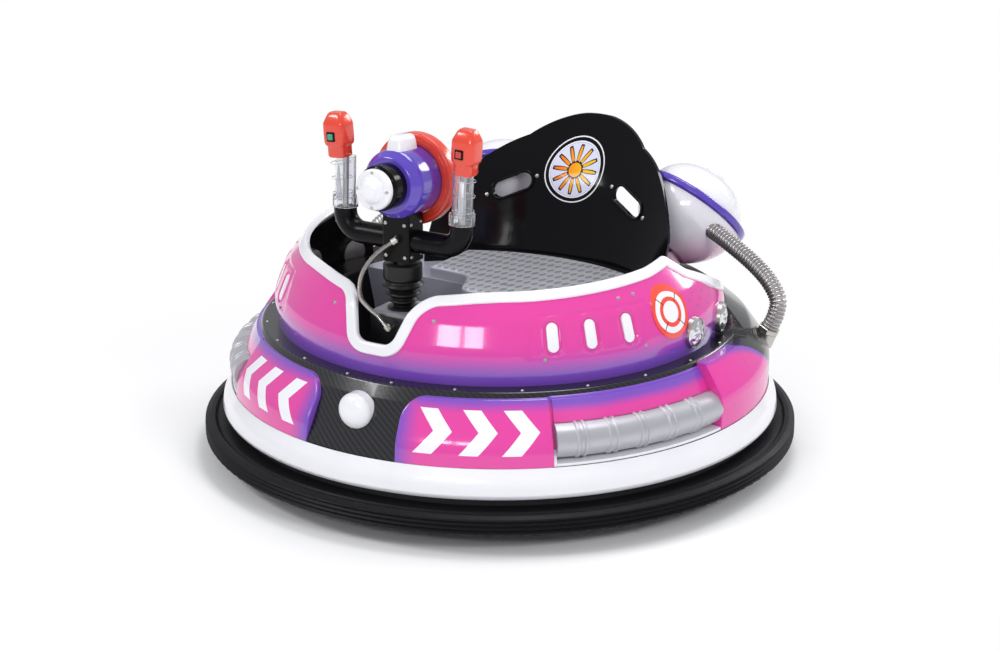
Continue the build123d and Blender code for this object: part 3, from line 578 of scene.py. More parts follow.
def barrel_violet():
    """Barrel: blue violet, with a paler band at the back."""
    paint = Paint("barrel_violet")
    y = paint.axes()[1]
    cloud = paint.noise(14.0, 2.0)
    colour = paint.mix(cloud, (0.075, 0.040, 0.40), (0.115, 0.060, 0.52))
    colour = paint.mix(y > -0.352, colour, (0.25, 0.15, 0.62))
    return body_gloss(paint, colour, 0.12)


# ---- mesh building ------------------------------------------------------------------------------
def mesh_object(name, points, faces):
    mesh = bpy.data.meshes.new(name)
    mesh.from_pydata([tuple(p) for p in points], [], [tuple(f) for f in faces])
    made = bpy.data.objects.new(name, mesh)
    bpy.context.scene.collection.objects.link(made)
    return made


def finished(made, angle=38, flat=False):
    """Welds the mesh, turns its faces outward and marks the edges that stay sharp."""
    work = bmesh.new()
    work.from_mesh(made.data)
    bmesh.ops.remove_doubles(work, verts=work.verts, dist=2e-6)
    bmesh.ops.dissolve_degenerate(work, edges=work.edges, dist=1e-7)
    bmesh.ops.recalc_face_normals(work, faces=work.faces)
    for face in work.faces:
        face.smooth = not flat
    for edge in work.edges:
        edge.smooth = edge.calc_face_angle(0.0) < radians(angle)
    work.to_mesh(made.data)
    work.free()
    return made


def joined(name, parts):
    """One object out of several."""
    points, faces = [], []
    for part in parts:
        start = len(points)
        points += [v.co.copy() for v in part.data.vertices]
        faces += [[start + k for k in polygon.vertices] for polygon in part.data.polygons]
        bpy.data.objects.remove(part)
    return finished(mesh_object(name, points, faces))


def mirrored(name, made):
    """The piece and its image on the other side of the car."""
    points = [v.co.copy() for v in made.data.vertices]
    count = len(points)
    faces = [list(polygon.vertices) for polygon in made.data.polygons]
    bpy.data.objects.remove(made)
    other = [Vector((-p.x, p.y, p.z)) for p in points]
    return finished(mesh_object(name, points + other, faces + [[count + k for k in face] for face in faces]))


def fit(made, paint, node, stands_for=True):
    """Gives a piece its finish, its body and the construction part that it stands for."""
    made.data.materials.clear()
    made.data.materials.append(paint)
    if stands_for:
        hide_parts(node)
    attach(made, BODY_OF[node])
    return made


def rounded(points, radii, step=0.002):
    """Open line with its inner corners rounded."""
    line = [Vector(points[0])]
    for a, b, c, radius in zip(points, points[1:], points[2:], radii):
        a, b, c = Vector(a), Vector(b), Vector(c)
        back, ahead = (a - b).normalized(), (c - b).normalized()
        between = back.angle(ahead)
        turn = pi - between
        if turn < 0.01:
            line.append(b)
            continue
        cut = min(radius / tan(between / 2), 0.49 * (a - b).length, 0.49 * (c - b).length)
        radius = cut * tan(between / 2)
        centre = b + (back + ahead).normalized() * (radius / sin(between / 2))
        start, end = b + back * cut - centre, b + ahead * cut - centre
        count = max(3, ceil(turn * radius / step))
        for k in range(count + 1):
            t = k / count
            line.append(centre + (start * sin((1 - t) * turn) + end * sin(t * turn)) / sin(turn))
    line.append(Vector(points[-1]))
    return line


def even(line, step):
    """The same line with evenly spaced points."""
    reach = [0.0]
    for a, b in zip(line, line[1:]):
        reach.append(reach[-1] + (b - a).length)
    count = max(2, round(reach[-1] / step))
    result, k = [], 0
    for n in range(count + 1):
        want = reach[-1] * n / count
        while k < len(line) - 2 and reach[k + 1] < want:
            k += 1
        span = max(reach[k + 1] - reach[k], 1e-9)
        result.append(line[k].lerp(line[k + 1], min(1.0, (want - reach[k]) / span)))
    return result


def flowing(points, step):
    """Evenly spaced points of a smooth curve through the given ones."""
    dense = []
    last = len(points) - 1
    for k in range(last):
        p0, p1, p2, p3 = points[max(k - 1, 0)], points[k], points[k + 1], points[min(k + 2, last)]
        for n in range(24):
            t = n / 24
            dense.append((p1 * 2 + (p2 - p0) * t + (p0 * 2 - p1 * 5 + p2 * 4 - p3) * t * t
                          + (p1 * 3 - p0 - p2 * 3 + p3) * t ** 3) * 0.5)
    dense.append(points[-1])
    return even(dense, step)


def look_up(line, key, value):
    """Function that reads one coordinate of a line at another one."""
    table = sorted((p[key], p[value]) for p in line)

    def read(at):
        low, high = 0, len(table) - 1
        if at <= table[0][0]:
            return table[0][1]
        if at >= table[-1][0]:
            return table[-1][1]
        while high - low > 1:
            middle = (low + high) // 2
            if table[middle][0] <= at:
                low = middle
            else:
                high = middle
        (a, u), (b, v) = table[low], table[high]
        return u + (v - u) * (at - a) / max(b - a, 1e-9)

    return read


def lathe(name, profile, origin, axis, segments=96, flat=False):
    """Solid turned about an axis. The (radius, along) profile starts and ends on the axis, or closes on itself."""
    axis = Vector(axis).normalized()
    side = axis.orthogonal().normalized()
    up = axis.cross(side)
    points, rings = [], []
    for r, s in profile:
        start = len(points)
        if r < 1e-6:
            points.append(Vector(origin) + axis * s)
            rings.append([start] * segments)
            continue
        for k in range(segments):
            t = 2 * pi * k / segments
            points.append(Vector(origin) + axis * s + (side * cos(t) + up * sin(t)) * r)
        rings.append(list(range(start, start + segments)))
    pairs = list(zip(rings, rings[1:]))
    if profile[0][0] > 1e-6:
        pairs.append((rings[-1], rings[0]))
    faces = []
    for a, b in pairs:
        for k in range(segments):
            n = (k + 1) % segments
            face = list(dict.fromkeys([a[k], a[n], b[n], b[k]]))
            if len(face) > 2:
                faces.append(face)
    return finished(mesh_object(name, points, faces), flat=flat)


def skin(name, rings, closed=False):
    """Closed skin through rings of equally many points."""
    points = [p for ring in rings for p in ring]
    count = len(rings[0])
    faces = []
    stations = len(rings)
    for i in range(stations if closed else stations - 1):
        for k in range(count):
            n = (k + 1) % count
            j = (i + 1) % stations
            faces.append([i * count + k, i * count + n, j * count + n, j * count + k])
    if not closed:
        faces.append(list(range(count)))
        faces.append([(stations - 1) * count + k for k in reversed(range(count))])
    return finished(mesh_object(name, points, faces))


def sweep(name, route, section, scale=None, closed=False):
    """Section of (across, up) offsets carried along a route without twisting."""
    rings = []
    last = len(route) - 1
    across = None
    for k, place in enumerate(route):
        ahead = route[(k + 1) % len(route) if closed else min(k + 1, last)]
        behind = route[k - 1 if closed else max(k - 1, 0)]
        way = (ahead - behind).normalized()
        if across is None:
            across = way.orthogonal().normalized()
        across = (across - way * across.dot(way)).normalized()
        up = way.cross(across)
        size = scale[k] if scale else 1.0
        rings.append([place + (across * a + up * b) * size for a, b in section])
    return skin(name, rings, closed)


def circle(radius, count=24):
    return [(radius * cos(2 * pi * k / count), radius * sin(2 * pi * k / count)) for k in range(count)]


def round_box(name, size, radius, place, turn=(0, 0, 0), steps=3):
    """Block with rounded edges, turned and then placed."""
    work = bmesh.new()
    bmesh.ops.create_cube(work, size=1.0)
    for vertex in work.verts:
        vertex.co = Vector((vertex.co.x * size[0], vertex.co.y * size[1], vertex.co.z * size[2]))
    bmesh.ops.bevel(work, geom=work.edges[:], offset=radius, segments=steps, profile=0.5, affect="EDGES")
    matrix = Matrix.Translation(Vector(place))
    for angle, axis in zip(turn, "XYZ"):
        matrix = matrix @ Matrix.Rotation(radians(angle), 4, axis)
    work.transform(matrix)
    mesh = bpy.data.meshes.new(name)
    work.to_mesh(mesh)
    work.free()
    made = bpy.data.objects.new(name, mesh)
    bpy.context.scene.collection.objects.link(made)
    return finished(made)


def repeated(name, template, places, size, finish, node):
    """Copies of a small template at (point, direction) places, made by a node tree and turned into a plain mesh."""
    tree = bpy.data.node_groups.new(name, "GeometryNodeTree")
    kinds = (("Points", "NodeSocketGeometry"), ("Template", "NodeSocketObject"), ("Size", "NodeSocketFloat"),
             ("Turn", "NodeSocketFloat"), ("Seed", "NodeSocketInt"), ("Finish", "NodeSocketMaterial"))
    keys = {}
    for label, kind in kinds:
        keys[label] = tree.interface.new_socket(label, in_out="INPUT", socket_type=kind).identifier
    tree.interface.new_socket("Result", in_out="OUTPUT", socket_type="NodeSocketGeometry")
    kinds_of_node = {"inputs": "NodeGroupInput", "facing": "GeometryNodeInputNamedAttribute",
                     "random": "FunctionNodeRandomValue", "spin": "ShaderNodeCombineXYZ",
                     "start": "FunctionNodeEulerToRotation", "align": "FunctionNodeAlignRotationToVector",
                     "shape": "GeometryNodeObjectInfo", "copies": "GeometryNodeInstanceOnPoints",
                     "real": "GeometryNodeRealizeInstances", "paint": "GeometryNodeSetMaterial",
                     "result": "NodeGroupOutput"}
    made = {key: tree.nodes.new(kind) for key, kind in kinds_of_node.items()}
    made["facing"].data_type = "FLOAT_VECTOR"
    made["facing"].inputs["Name"].default_value = "facing"
    made["random"].data_type = "FLOAT"
    made["align"].axis = "Z"
    made["shape"].inputs["As Instance"].default_value = True
    group = made["inputs"].outputs
    random_in = [socket for socket in made["random"].inputs if socket.enabled]
    random_out = [socket for socket in made["random"].outputs if socket.enabled][0]
    facing_out = [socket for socket in made["facing"].outputs if socket.enabled][0]
    wires = ((group["Turn"], random_in[1]), (group["Seed"], made["random"].inputs["Seed"]),
             (random_out, made["spin"].inputs["Z"]), (made["spin"].outputs[0], made["start"].inputs[0]),
             (made["start"].outputs[0], made["align"].inputs["Rotation"]),
             (facing_out, made["align"].inputs["Vector"]), (group["Template"], made["shape"].inputs["Object"]),
             (group["Points"], made["copies"].inputs["Points"]),
             (made["shape"].outputs["Geometry"], made["copies"].inputs["Instance"]),
             (made["align"].outputs[0], made["copies"].inputs["Rotation"]),
             (group["Size"], made["copies"].inputs["Scale"]),
             (made["copies"].outputs[0], made["real"].inputs[0]),
             (made["real"].outputs[0], made["paint"].inputs[0]),
             (group["Finish"], made["paint"].inputs["Material"]),
             (made["paint"].outputs[0], made["result"].inputs[0]))
    for source, target in wires:
        tree.links.new(source, target)
    cloud = mesh_object(name + "_points", [place for place, _ in places], [])
    facing = cloud.data.attributes.new("facing", "FLOAT_VECTOR", "POINT")
    for entry, (_, direction) in zip(facing.data, places):
        entry.vector = direction
    modifier = cloud.modifiers.new("repeat", "NODES")
    modifier.node_group = tree
    for label, value in (("Template", template), ("Size", size), ("Turn", 6.28), ("Seed", 4), ("Finish", finish)):
        modifier[keys[label]] = value
    graph = bpy.context.evaluated_depsgraph_get()
    mesh = bpy.data.meshes.new_from_object(cloud.evaluated_get(graph))
    result = bpy.data.objects.new(name, mesh)
    bpy.context.scene.collection.objects.link(result)
    bpy.data.objects.remove(cloud)
    bpy.data.objects.remove(template)
    return fit(result, finish, node, stands_for=False)


# ---- the body's own surfaces --------------------------------------------------------------------
def around(b, r, z):
    """Point at a bearing in degrees, a radius and a height."""
    return Vector((r * sin(radians(b)), -r * cos(radians(b)), z))


SHELL_OUT = rounded(SHELL_LINE, SHELL_ROUND, 0.002)
SHELL_AT = look_up(SHELL_OUT, 1, 0)
SKIRT_OUT = rounded(SKIRT_LINE[:3], [0.012], 0.002)
SKIRT_AT = look_up(SKIRT_OUT, 1, 0)
FRONT_RIM = rounded(NOTCH, NOTCH_ROUND, 0.002)
FRONT_RIM_AT = look_up(FRONT_RIM, 0, 1)
SIDE_RIM = rounded(RIM, RIM_ROUND, 0.002)
SIDE_RIM_AT = look_up(SIDE_RIM, 0, 1)


def shell_out(z):
    """Outward direction (radial, up) of the upper shell at a height."""
    slope = (SHELL_AT(z + 0.003) - SHELL_AT(z - 0.003)) / 0.006
    return Vector((1, -slope)).normalized()


def rim_height(b):
    """Height of the opening's edge at a bearing."""
    z = 0.45
    for _ in range(60):
        r = SHELL_AT(z)
        x, y = abs(r * sin(radians(b))), -r * cos(radians(b))
        aim = min(FRONT_RIM_AT(x), SIDE_RIM_AT(y)) if y < 0 else SIDE_RIM_AT(y)
        z += (aim - z) * 0.3
    return z


def step_in(d, width):
    """0 outside, 1 inside, smooth over the width; d is the distance inside an outline."""
    t = max(0.0, min(1.0, d / width))
    return t * t * (3 - 2 * t)


PANEL_B, PANEL_Z = 53.4, 0.416            # middle of the sunk panel round the vents
PANEL_LONG, PANEL_HIGH = 0.142, 0.047     # half sizes
PANEL_SLANT, PANEL_CORNER, PANEL_DEPTH = 0.35, 0.02, 0.0022
VENT_DEPTH, VENT_LIP = 0.0052, 0.0014


def shell_relief(b, z):
    """How far the upper shell sinks in at a place: the panel round the vents, and the vents."""
    b = abs(b)
    r = SHELL_AT(z)
    across, up = radians(b - PANEL_B) * r, z - PANEL_Z
    long, high = PANEL_LONG - abs(across - up * PANEL_SLANT), PANEL_HIGH - abs(up)
    d = min(long, high)
    corner = (long - PANEL_CORNER, high - PANEL_CORNER)
    if corner[0] < 0 and corner[1] < 0:
        d = PANEL_CORNER - hypot(*corner)
    depth = PANEL_DEPTH * step_in(d, 0.006)
    for vent in VENTS:
        across = abs(radians(b - vent) * r)
        up = max(0.0, abs(z - VENT_Z) - (VENT_H - VENT_W) / 2)
        inside = VENT_W / 2 + 0.003 - hypot(across, up)
        depth += VENT_DEPTH * step_in(inside, 0.0045) - VENT_LIP * step_in(inside + 0.006, 0.004)
    return depth


def upper_shell():
    """The shell's wall, with finer columns at the notch and at the vents."""
    fine, coarse, under_trim = 0.26, 0.6, 0.008
    bearings = []
    b = -SHELL_END
    while b < SHELL_END:
        bearings.append(b)
        near = min(abs(abs(b) - vent) for vent in VENTS) < 2.7
        steep = abs(b) < 12
        b += fine if near or steep else coarse
    bearings.append(SHELL_END)
    rows, inner_rows = 84, 5
    columns = []
    for b in bearings:
        top = rim_height(b) - under_trim
        column = []
        for k in range(rows + 1):
            z = SHELL_FOOT + (top - SHELL_FOOT) * k / rows
            out = shell_out(z)
            depth = shell_relief(b, z)
            column.append(around(b, SHELL_AT(z) - out.x * depth, z - out.y * depth))
        for k in range(inner_rows + 1):
            z = top + (SHELL_FOOT - top) * k / inner_rows
            out = shell_out(z)
            height = max(z - out.y * SKIN, SHELL_FOOT)
            column.append(around(b, SHELL_AT(z) - out.x * SKIN, height))
        columns.append(column)
    return skin("shell", columns)


def vent_plates():
    """Narrow white plates that stand in the vents."""
    parts = []
    straight = (VENT_PLATE_H - VENT_PLATE_W) / 2
    for vent in VENTS:
        rings = []
        for inset, lift in ((0.0, -0.0062), (0.0, -0.0030), (0.0006, -0.0020), (0.0018, -0.0014)):
            ring = []
            for k in range(40):
                t = 2 * pi * k / 40
                r_end = VENT_PLATE_W / 2 - inset
                up = VENT_Z + r_end * sin(t) + straight * (1 if sin(t) > 0 else -1)
                r = SHELL_AT(up)
                out = shell_out(up)
                ring.append(around(vent + degrees(r_end * cos(t) / r), r + out.x * lift, up + out.y * lift))
            rings.append(ring)
        parts.append(skin("plate", rings))
    return mirrored("vent_plates", joined("plates", parts))


def liner_faces(shell, paint):
    """The inner side of the shell is black."""
    shell.data.materials.append(paint)
    for polygon in shell.data.polygons:
        middle = polygon.center
        r = hypot(middle.x, middle.y)
        if r < SHELL_AT(middle.z) - SKIN * 0.72 and polygon.normal.x * middle.x + polygon.normal.y * middle.y < 0:
            polygon.material_index = 1


def side_blocks():
    """Pink end pieces behind the ribbed pipes, in line with the rear cowl."""
    line = rounded([(0.634, 0.1715), (0.635, 0.245), (0.586, 0.3118)], [0.050], 0.003)
    section = line + [Vector((0.562, 0.3118)), Vector((0.598, 0.1715))]
    rings = []
    for b in (PIPE_END, PIPE_END + 0.15, *[PIPE_END + 1 + k for k in range(15)], COWL_FRONT + 0.3):
        shrink = 0.0015 if b == PIPE_END else 0.0
        rings.append([around(b, p.x - shrink * (p.x > 0.6), p.y) for p in section])
    return mirrored("side_blocks", skin("block", rings))


def pipe_covers():
    """Half-round silver covers with pairs of ribs."""
    stations, sides = 360, 32
    rib_gap, rib_half, rib_soft, rib_rise = 0.75, 0.42, 0.16, 0.0026
    rings = []
    for k in range(stations + 1):
        b = RECESS_SPAN[0] + (PIPE_END + 0.3 - RECESS_SPAN[0]) * k / stations
        rise = 0.0
        for rib in PIPE_RIBS:
            for off in (-rib_gap, rib_gap):
                rise = max(rise, rib_rise * step_in(rib_half - abs(b - rib - off), rib_soft))
        size = PIPE_COVER_R + rise
        ring = []
        for n in range(sides + 1):
            t = radians(-92 + 200 * n / sides)
            ring.append(around(b, PIPE_RING_R + size * cos(t), PIPE_Z + size * 0.98 * sin(t)))
        rings.append(ring)
    return mirrored("pipe_covers", skin("cover", rings))


def rim_route():
    """The opening's edge, from the left end round the front to the right end."""
    half = []
    for p in even([p for p in FRONT_RIM if p.x <= JOIN_X], 0.003):
        r = SHELL_AT(p.y)
        half.append(Vector((p.x, -sqrt(max(r * r - p.x * p.x, 0.0)), p.y)))
    join_y = half[-1].y
    for p in even([p for p in SIDE_RIM if p.x > join_y + 0.002], 0.003):
        r = SHELL_AT(p.y)
        place = Vector((sqrt(max(r * r - p.x * p.x, 0.0)), p.x, p.y))
        if degrees(atan2(place.x, -place.y)) > SHELL_END:
            break
        half.append(place)
    other = [Vector((-p.x, p.y, p.z)) for p in reversed(half[1:])]
    return even(other + half, 0.0035)


def rim_trim():
    """White moulding over the opening's edge, rounded all round."""
    route = rim_route()
    middle = (TRIM_W / 2, 0.005)
    outline = rounded([middle, (TRIM_W, 0.0045), (TRIM_W, -0.0108), (0.0, -0.0108), (0.0, 0.005), middle],
                      [0.0045, 0.001, 0.004, 0.006], 0.001)[:-1]
    last = len(route) - 1
    downs, outs = [], []
    for k, place in enumerate(route):
        way = (route[min(k + 1, last)] - route[max(k - 1, 0)]).normalized()
        flat = Vector((place.x, place.y, 0)).normalized()
        out = shell_out(place.z)
        normal = flat * out.x + Vector((0, 0, out.y))
        downs.append(normal.cross(way).normalized())
        outs.append(normal)
    if downs[last // 2].z > 0:
        downs = [-d for d in downs]
    for _ in range(5):
        downs = [(downs[max(k - 1, 0)] + downs[k] + downs[min(k + 1, last)]).normalized() for k in range(last + 1)]
    rings = []
    for place, down, out in zip(route, downs, outs):
        down = (down - out * down.dot(out)).normalized()
        rings.append([place + down * p.x + out * p.y for p in outline])
    return skin("opening_trim", rings)


def front_panels():
    """Panels at the front with softened edges and one rounded corner each."""
    line = flowing([Vector(p) for p in ((0.635, 0.1713), (0.627, 0.216), (0.600, 0.262), (0.571, 0.303))], 0.002)
    length = sum((b - a).length for a, b in zip(line, line[1:]))
    mean_r = 0.61
    width = radians(PANEL_SPAN[1] - PANEL_SPAN[0]) * mean_r
    corner, soft = 0.055, 0.005
    columns, rows = 90, 48

    def on_line(s):
        k = min(int(s / length * (len(line) - 1)), len(line) - 2)
        t = s / length * (len(line) - 1) - k
        place = line[k].lerp(line[k + 1], t)
        way = (line[k + 1] - line[k]).normalized()
        return place, Vector((way.y, -way.x))

    outer, inner = [], []
    for i in range(columns + 1):
        u = width * (1 - cos(pi * i / columns)) / 2
        top = length - corner + sqrt(max(0.0, corner ** 2 - max(0.0, corner - u) ** 2))
        b = PANEL_SPAN[0] + degrees(u / mean_r)
        for j in range(rows + 1):
            s = top * sin(pi / 2 * j / rows)
            edge = min(u, width - u, top - s)
            if u < corner and s > length - corner:
                edge = min(edge, max(0.0, corner - hypot(u - corner, s - length + corner)))
            drop = soft - sqrt(max(0.0, soft ** 2 - max(0.0, soft - edge) ** 2))
            place, out = on_line(s)
            outer.append(around(b, place.x - out.x * drop, place.y - out.y * drop))
            back = min(SKIRT_AT(place.y) + 0.0006, place.x - out.x * drop)
            inner.append(around(b, back, place.y - out.y * drop))
    count = len(outer)
    wide = rows + 1
    faces = []
    for i in range(columns):
        for j in range(rows):
            a = i * wide + j
            faces.append([a, a + 1, a + wide + 1, a + wide])
            faces.append([count + k for k in (a, a + wide, a + wide + 1, a + 1)])
    border = [i * wide for i in range(columns + 1)] + [columns * wide + j for j in range(1, wide)]
    border += [i * wide + rows for i in range(columns - 1, -1, -1)] + [j for j in range(rows - 1, 0, -1)]
    for a, b in zip(border, border[1:] + border[:1]):
        faces.append([a, b, count + b, count + a])
    return mirrored("chevron_panels", mesh_object("panel", outer + inner, faces))


# ---- hoses, boot and conduit --------------------------------------------------------------------
def ribbed_hose(name, route, low, high, pitch, steps, count):
    """Corrugated hose: its radius swings between low and high once in every pitch."""
    line = flowing(route, pitch / steps)
    scale = []
    for k in range(len(line)):
        wave = 0.5 + 0.5 * cos(2 * pi * k / steps)
        scale.append(low + (high - low) * wave ** 0.5)
    return sweep(name, line, circle(1.0, count), scale)


def hose_nut():
    """Hexagon nut at the foot of the left hose, on a round collar that stands in the cowl."""
    line = metres(HOSE)
    foot, down = line[-1], (line[-1] - line[-2]).normalized()
    nut = [(0.0, 0.0), (0.0245, 0.0), (0.027, 0.002), (0.027, 0.012), (0.0245, 0.014), (0.0, 0.014)]
    collar = [(0.0, 0.013), (0.0225, 0.013), (0.023, 0.0135), (0.023, 0.045), (0.0, 0.045)]
    return joined("nut", [lathe("hexagon", nut, foot, down, 6, flat=True), lathe("collar", collar, foot, down, 48)])


BOOT_TOP = 0.534


# radius and height over the boot's foot, in millimetres
FOLDS = [(34, 0), (34, 4), (24, 6.5), (22, 8), (23, 11), (27, 15), (33, 19), (31, 22), (27, 26), (31, 30),
         (38, 35), (35.5, 39), (31, 43), (36, 48), (45.5, 54), (43.5, 58), (38, 64), (42.5, 70), (42.5, 84),
         (42.5, 100)]


def boot_half(name, low, high):
    """Part of the folded boot between two heights, with its wall."""
    line = flowing([Vector((r / 1000, PIVOT.z - 0.042 + h / 1000)) for r, h in FOLDS], 0.0012)
    line = [p for p in line if low - 1e-6 <= p.y <= high + 1e-6]
    inner = [(p.x - 0.0035, p.y) for p in reversed(line)]
    profile = [(p.x, p.y) for p in line]
    if high > BOOT_TOP - 0.001:
        profile += [(0.0420, BOOT_TOP + 0.0012), (0.0400, BOOT_TOP + 0.0022), (0.0205, BOOT_TOP + 0.0022),
                    (0.0205, BOOT_TOP - 0.0015), (0.0380, BOOT_TOP - 0.0015)]
        inner = inner[2:]
    profile += inner
    return lathe(name, profile, (PIVOT.x, PIVOT.y, 0), (0, 0, 1), 72)


def across_joints(made, paint, node, bodies, start, end):
    """A soft piece between two bodies that one joint joins."""
    made.data.materials.clear()
    made.data.materials.append(paint)
    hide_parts(node)
    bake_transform(made)


def boot_and_conduit(rubber, steel):
    """Both are cut at the pivot, so that each half crosses one joint."""
    split = PIVOT.z + 0.0008

    def on_axis(z):
        return (0, PIVOT.y, z)

    root_half, column_half = ("root", "gimbal"), ("gimbal", "column")
    middle = on_axis(split)
    across_joints(boot_half("boot_lower", 0.4341, split), rubber, "bellows", root_half, on_axis(0.436), middle)
    across_joints(boot_half("boot_upper", split, BOOT_TOP), rubber, "bellows", column_half, middle, on_axis(0.524))
    line = flowing(metres(CONDUIT), 0.0007)
    upper = [p for p in line if p.z > split]
    lower = [p for p in line if p.z <= split + 0.0008]
    for name, part, bodies, ends in (("conduit_upper", upper, column_half, (middle, on_axis(0.583))),
                                     ("conduit_lower", lower, root_half, (on_axis(0.420), middle))):
        scale = [0.0050 + 0.0005 * cos(2 * pi * k / 4) for k in range(len(part))]
        across_joints(sweep(name, part, circle(1.0, 14), scale), steel, "conduit", bodies, *ends)


# ---- lamps, gun and other fittings --------------------------------------------------------------
def lamps(rim_paint, lens_paint):
    """Side lamps: plated rims and faceted lenses."""
    profile = [(0.0, 0.002), (0.0345, 0.002), (0.035, 0.024), (0.0348, 0.0270), (0.0338, 0.0278),
               (0.0326, 0.0270), (0.0322, 0.0255), (0.0, 0.0255)]
    seat_r = 0.507
    rims, lenses = [], []
    for side in SIDES:
        for b, z in LAMPS:
            out = around(b * side, 1, 0)
            base = around(b * side, seat_r, z)
            rims.append(lathe("rim", profile, base, out, 64))
            lenses.append(lens(base, out))
    fit(joined("lamp_rims", rims), rim_paint, "side_lamps")
    made = joined("lamp_lenses", lenses)
    fit(finished(made, flat=True), lens_paint, "side_lamps", stands_for=False)


def lens(base, out):
    """Dome of facets."""
    side = out.orthogonal().normalized()
    up = out.cross(side)
    points = [base + out * 0.0355]
    rings = []
    for n, r in enumerate((0.007, 0.0135, 0.020, 0.0265, 0.0325)):
        ring = []
        for k in range(16):
            t = 2 * pi * (k + 0.5 * (n % 2)) / 16
            height = 0.0355 - 0.0095 * (r / 0.0325) ** 2 + (0.0011 if (k + n) % 2 else -0.0006) * (n < 4)
            ring.append(len(points))
            points.append(base + out * height + (side * cos(t) + up * sin(t)) * r)
        rings.append(ring)
    back = len(points)
    points.append(base + out * 0.024)
    faces = [[0, rings[0][k], rings[0][(k + 1) % 16]] for k in range(16)]
    for n, (a, b) in enumerate(zip(rings, rings[1:])):
        for k in range(16):
            m = (k + 1) % 16
            if n % 2:
                faces += [[a[k], b[k], b[m]], [a[k], b[m], a[m]]]
            else:
                faces += [[a[k], b[k], a[m]], [b[k], b[m], a[m]]]
    faces += [[back, rings[-1][(k + 1) % 16], rings[-1][k]] for k in range(16)]
    return mesh_object("lens", points, faces)


GUN_FACE = Vector((0.0, -0.348, 0.712))
GUN_WAY = Vector((0.0, -cos(radians(3)), sin(radians(3))))


# (radius, along the barrel) outlines and the radii of their corners
COLLAR = ([(0.0755, -0.018), (0.100, -0.018), (0.100, 0.018), (0.0905, 0.0185), (0.0895, 0.0165),
           (0.0875, 0.0165), (0.0865, 0.0185), (0.0755, 0.0175)], [0.013, 0.011, 0.001, 0.001, 0.001, 0.001])
BARREL = ([(0.0, -0.0185), (0.0748, -0.0185), (0.0748, 0.0), (0.0736, 0.001), (0.0736, 0.003), (0.0748, 0.004),
           (0.0748, 0.092), (0.060, 0.1115), (0.0, 0.1115)],
          [0.004, 0.0004, 0.0004, 0.0004, 0.0004, 0.022, 0.008])
NOZZLE = ([(0.0, 0.156), (0.044, 0.156), (0.044, 0.170), (0.030, 0.1725), (0.0275, 0.1790), (0.016, 0.1885),
           (0.0, 0.1900)], [0.002, 0.006, 0.003, 0.012, 0.020])


def on_gun(name, outline, step, segments):
    """Solid turned about the barrel's axis from an outline with rounded corners."""
    points, radii = outline
    profile = [tuple(p) for p in rounded(points, radii, step)]
    return lathe(name, profile, GUN_FACE, GUN_WAY, segments)


def gun(red, violet, white, steel):
    """Collar, barrel, nozzle and cap, with the screws of the nozzle and of the column's block."""
    fit(on_gun("gun_collar", COLLAR, 0.001, 128), red, "gun_ring")
    fit(on_gun("gun_body", BARREL, 0.001, 128), violet, "gun_barrel")
    fit(on_gun("gun_flange", NOZZLE, 0.0015, 96), white, "gun_nozzle")
    fit(cap_block(), white, "gun_cap")
    places = []
    for k in range(4):
        turn = radians(90 * k)
        side = Vector((1, 0, 0)) * cos(turn) + Vector((1, 0, 0)).cross(GUN_WAY) * sin(turn)
        places.append((GUN_FACE + GUN_WAY * 0.1712 + side * 0.0372, GUN_WAY))
    repeated("nozzle_screws", screw(), places, 0.75, steel, "gun_nozzle")
    slot = round_box("cap_slot", (0.005, 0.022, 0.004), 0.0018, (0, -0.398, 0.8160))
    fit(slot, PAINTS["satin_black"], "gun_cap", stands_for=False)
    heights = (0.556, 0.628)
    bolts = [(Vector((0.0342 * side, y, z)), Vector((side, 0, 0))) for side in SIDES for y in (-0.424, -0.387)
             for z in heights]
    bolts += [(Vector((x, -0.4362, z)), Vector((0, -1, 0))) for x in (-0.024, 0.024) for z in heights]
    repeated("column_bolts", screw(), bolts, 0.9, steel, "column_head")


def cap_block():
    """Rounded white block on top of the barrel, narrower at its top."""
    made = round_box("gun_cap_block", (0.046, 0.078, 0.050), 0.012, (0, 0, 0), steps=5)
    matrix = Matrix.Translation((0, -0.404, 0.7935)) @ Matrix.Rotation(radians(-3), 4, "X")
    for vertex in made.data.vertices:
        up = vertex.co.z / 0.050 + 0.5
        vertex.co.x *= 1 - 0.22 * up
        vertex.co.y *= 1 - 0.30 * up
        vertex.co = matrix @ vertex.co
    return finished(made)


def screw():
    """Button-headed screw, its cross recess drawn as a round dip, 10 mm over its head, standing on the origin."""
    head = [(0.0, 0.0017), (0.0012, 0.0017), (0.0016, 0.0026), (0.0033, 0.0022), (0.0046, 0.0011), (0.005, 0.0),
            (0.005, -0.001), (0.0, -0.001)]
    return lathe("screw", head, (0, 0, 0), (0, 0, 1), 18)


GRIP_X, GRIP_Y, GRIP_Z = 0.1530, -0.405, 0.641      # foot of the left grip
GRIP_LEAN = 3.6                                     # degrees outwards
GRIP_LINES = (0.660, 0.672, 0.705, 0.738)           # heights of the rings on the sleeve
STRIP_UP, STRIP_OUT = 0.056, Vector((0, -0.0142, 0))
KEY_PLACE, KEY_OUT = Vector((-0.004, -0.0245, 0.046)), Vector((0, -0.0018, 0))


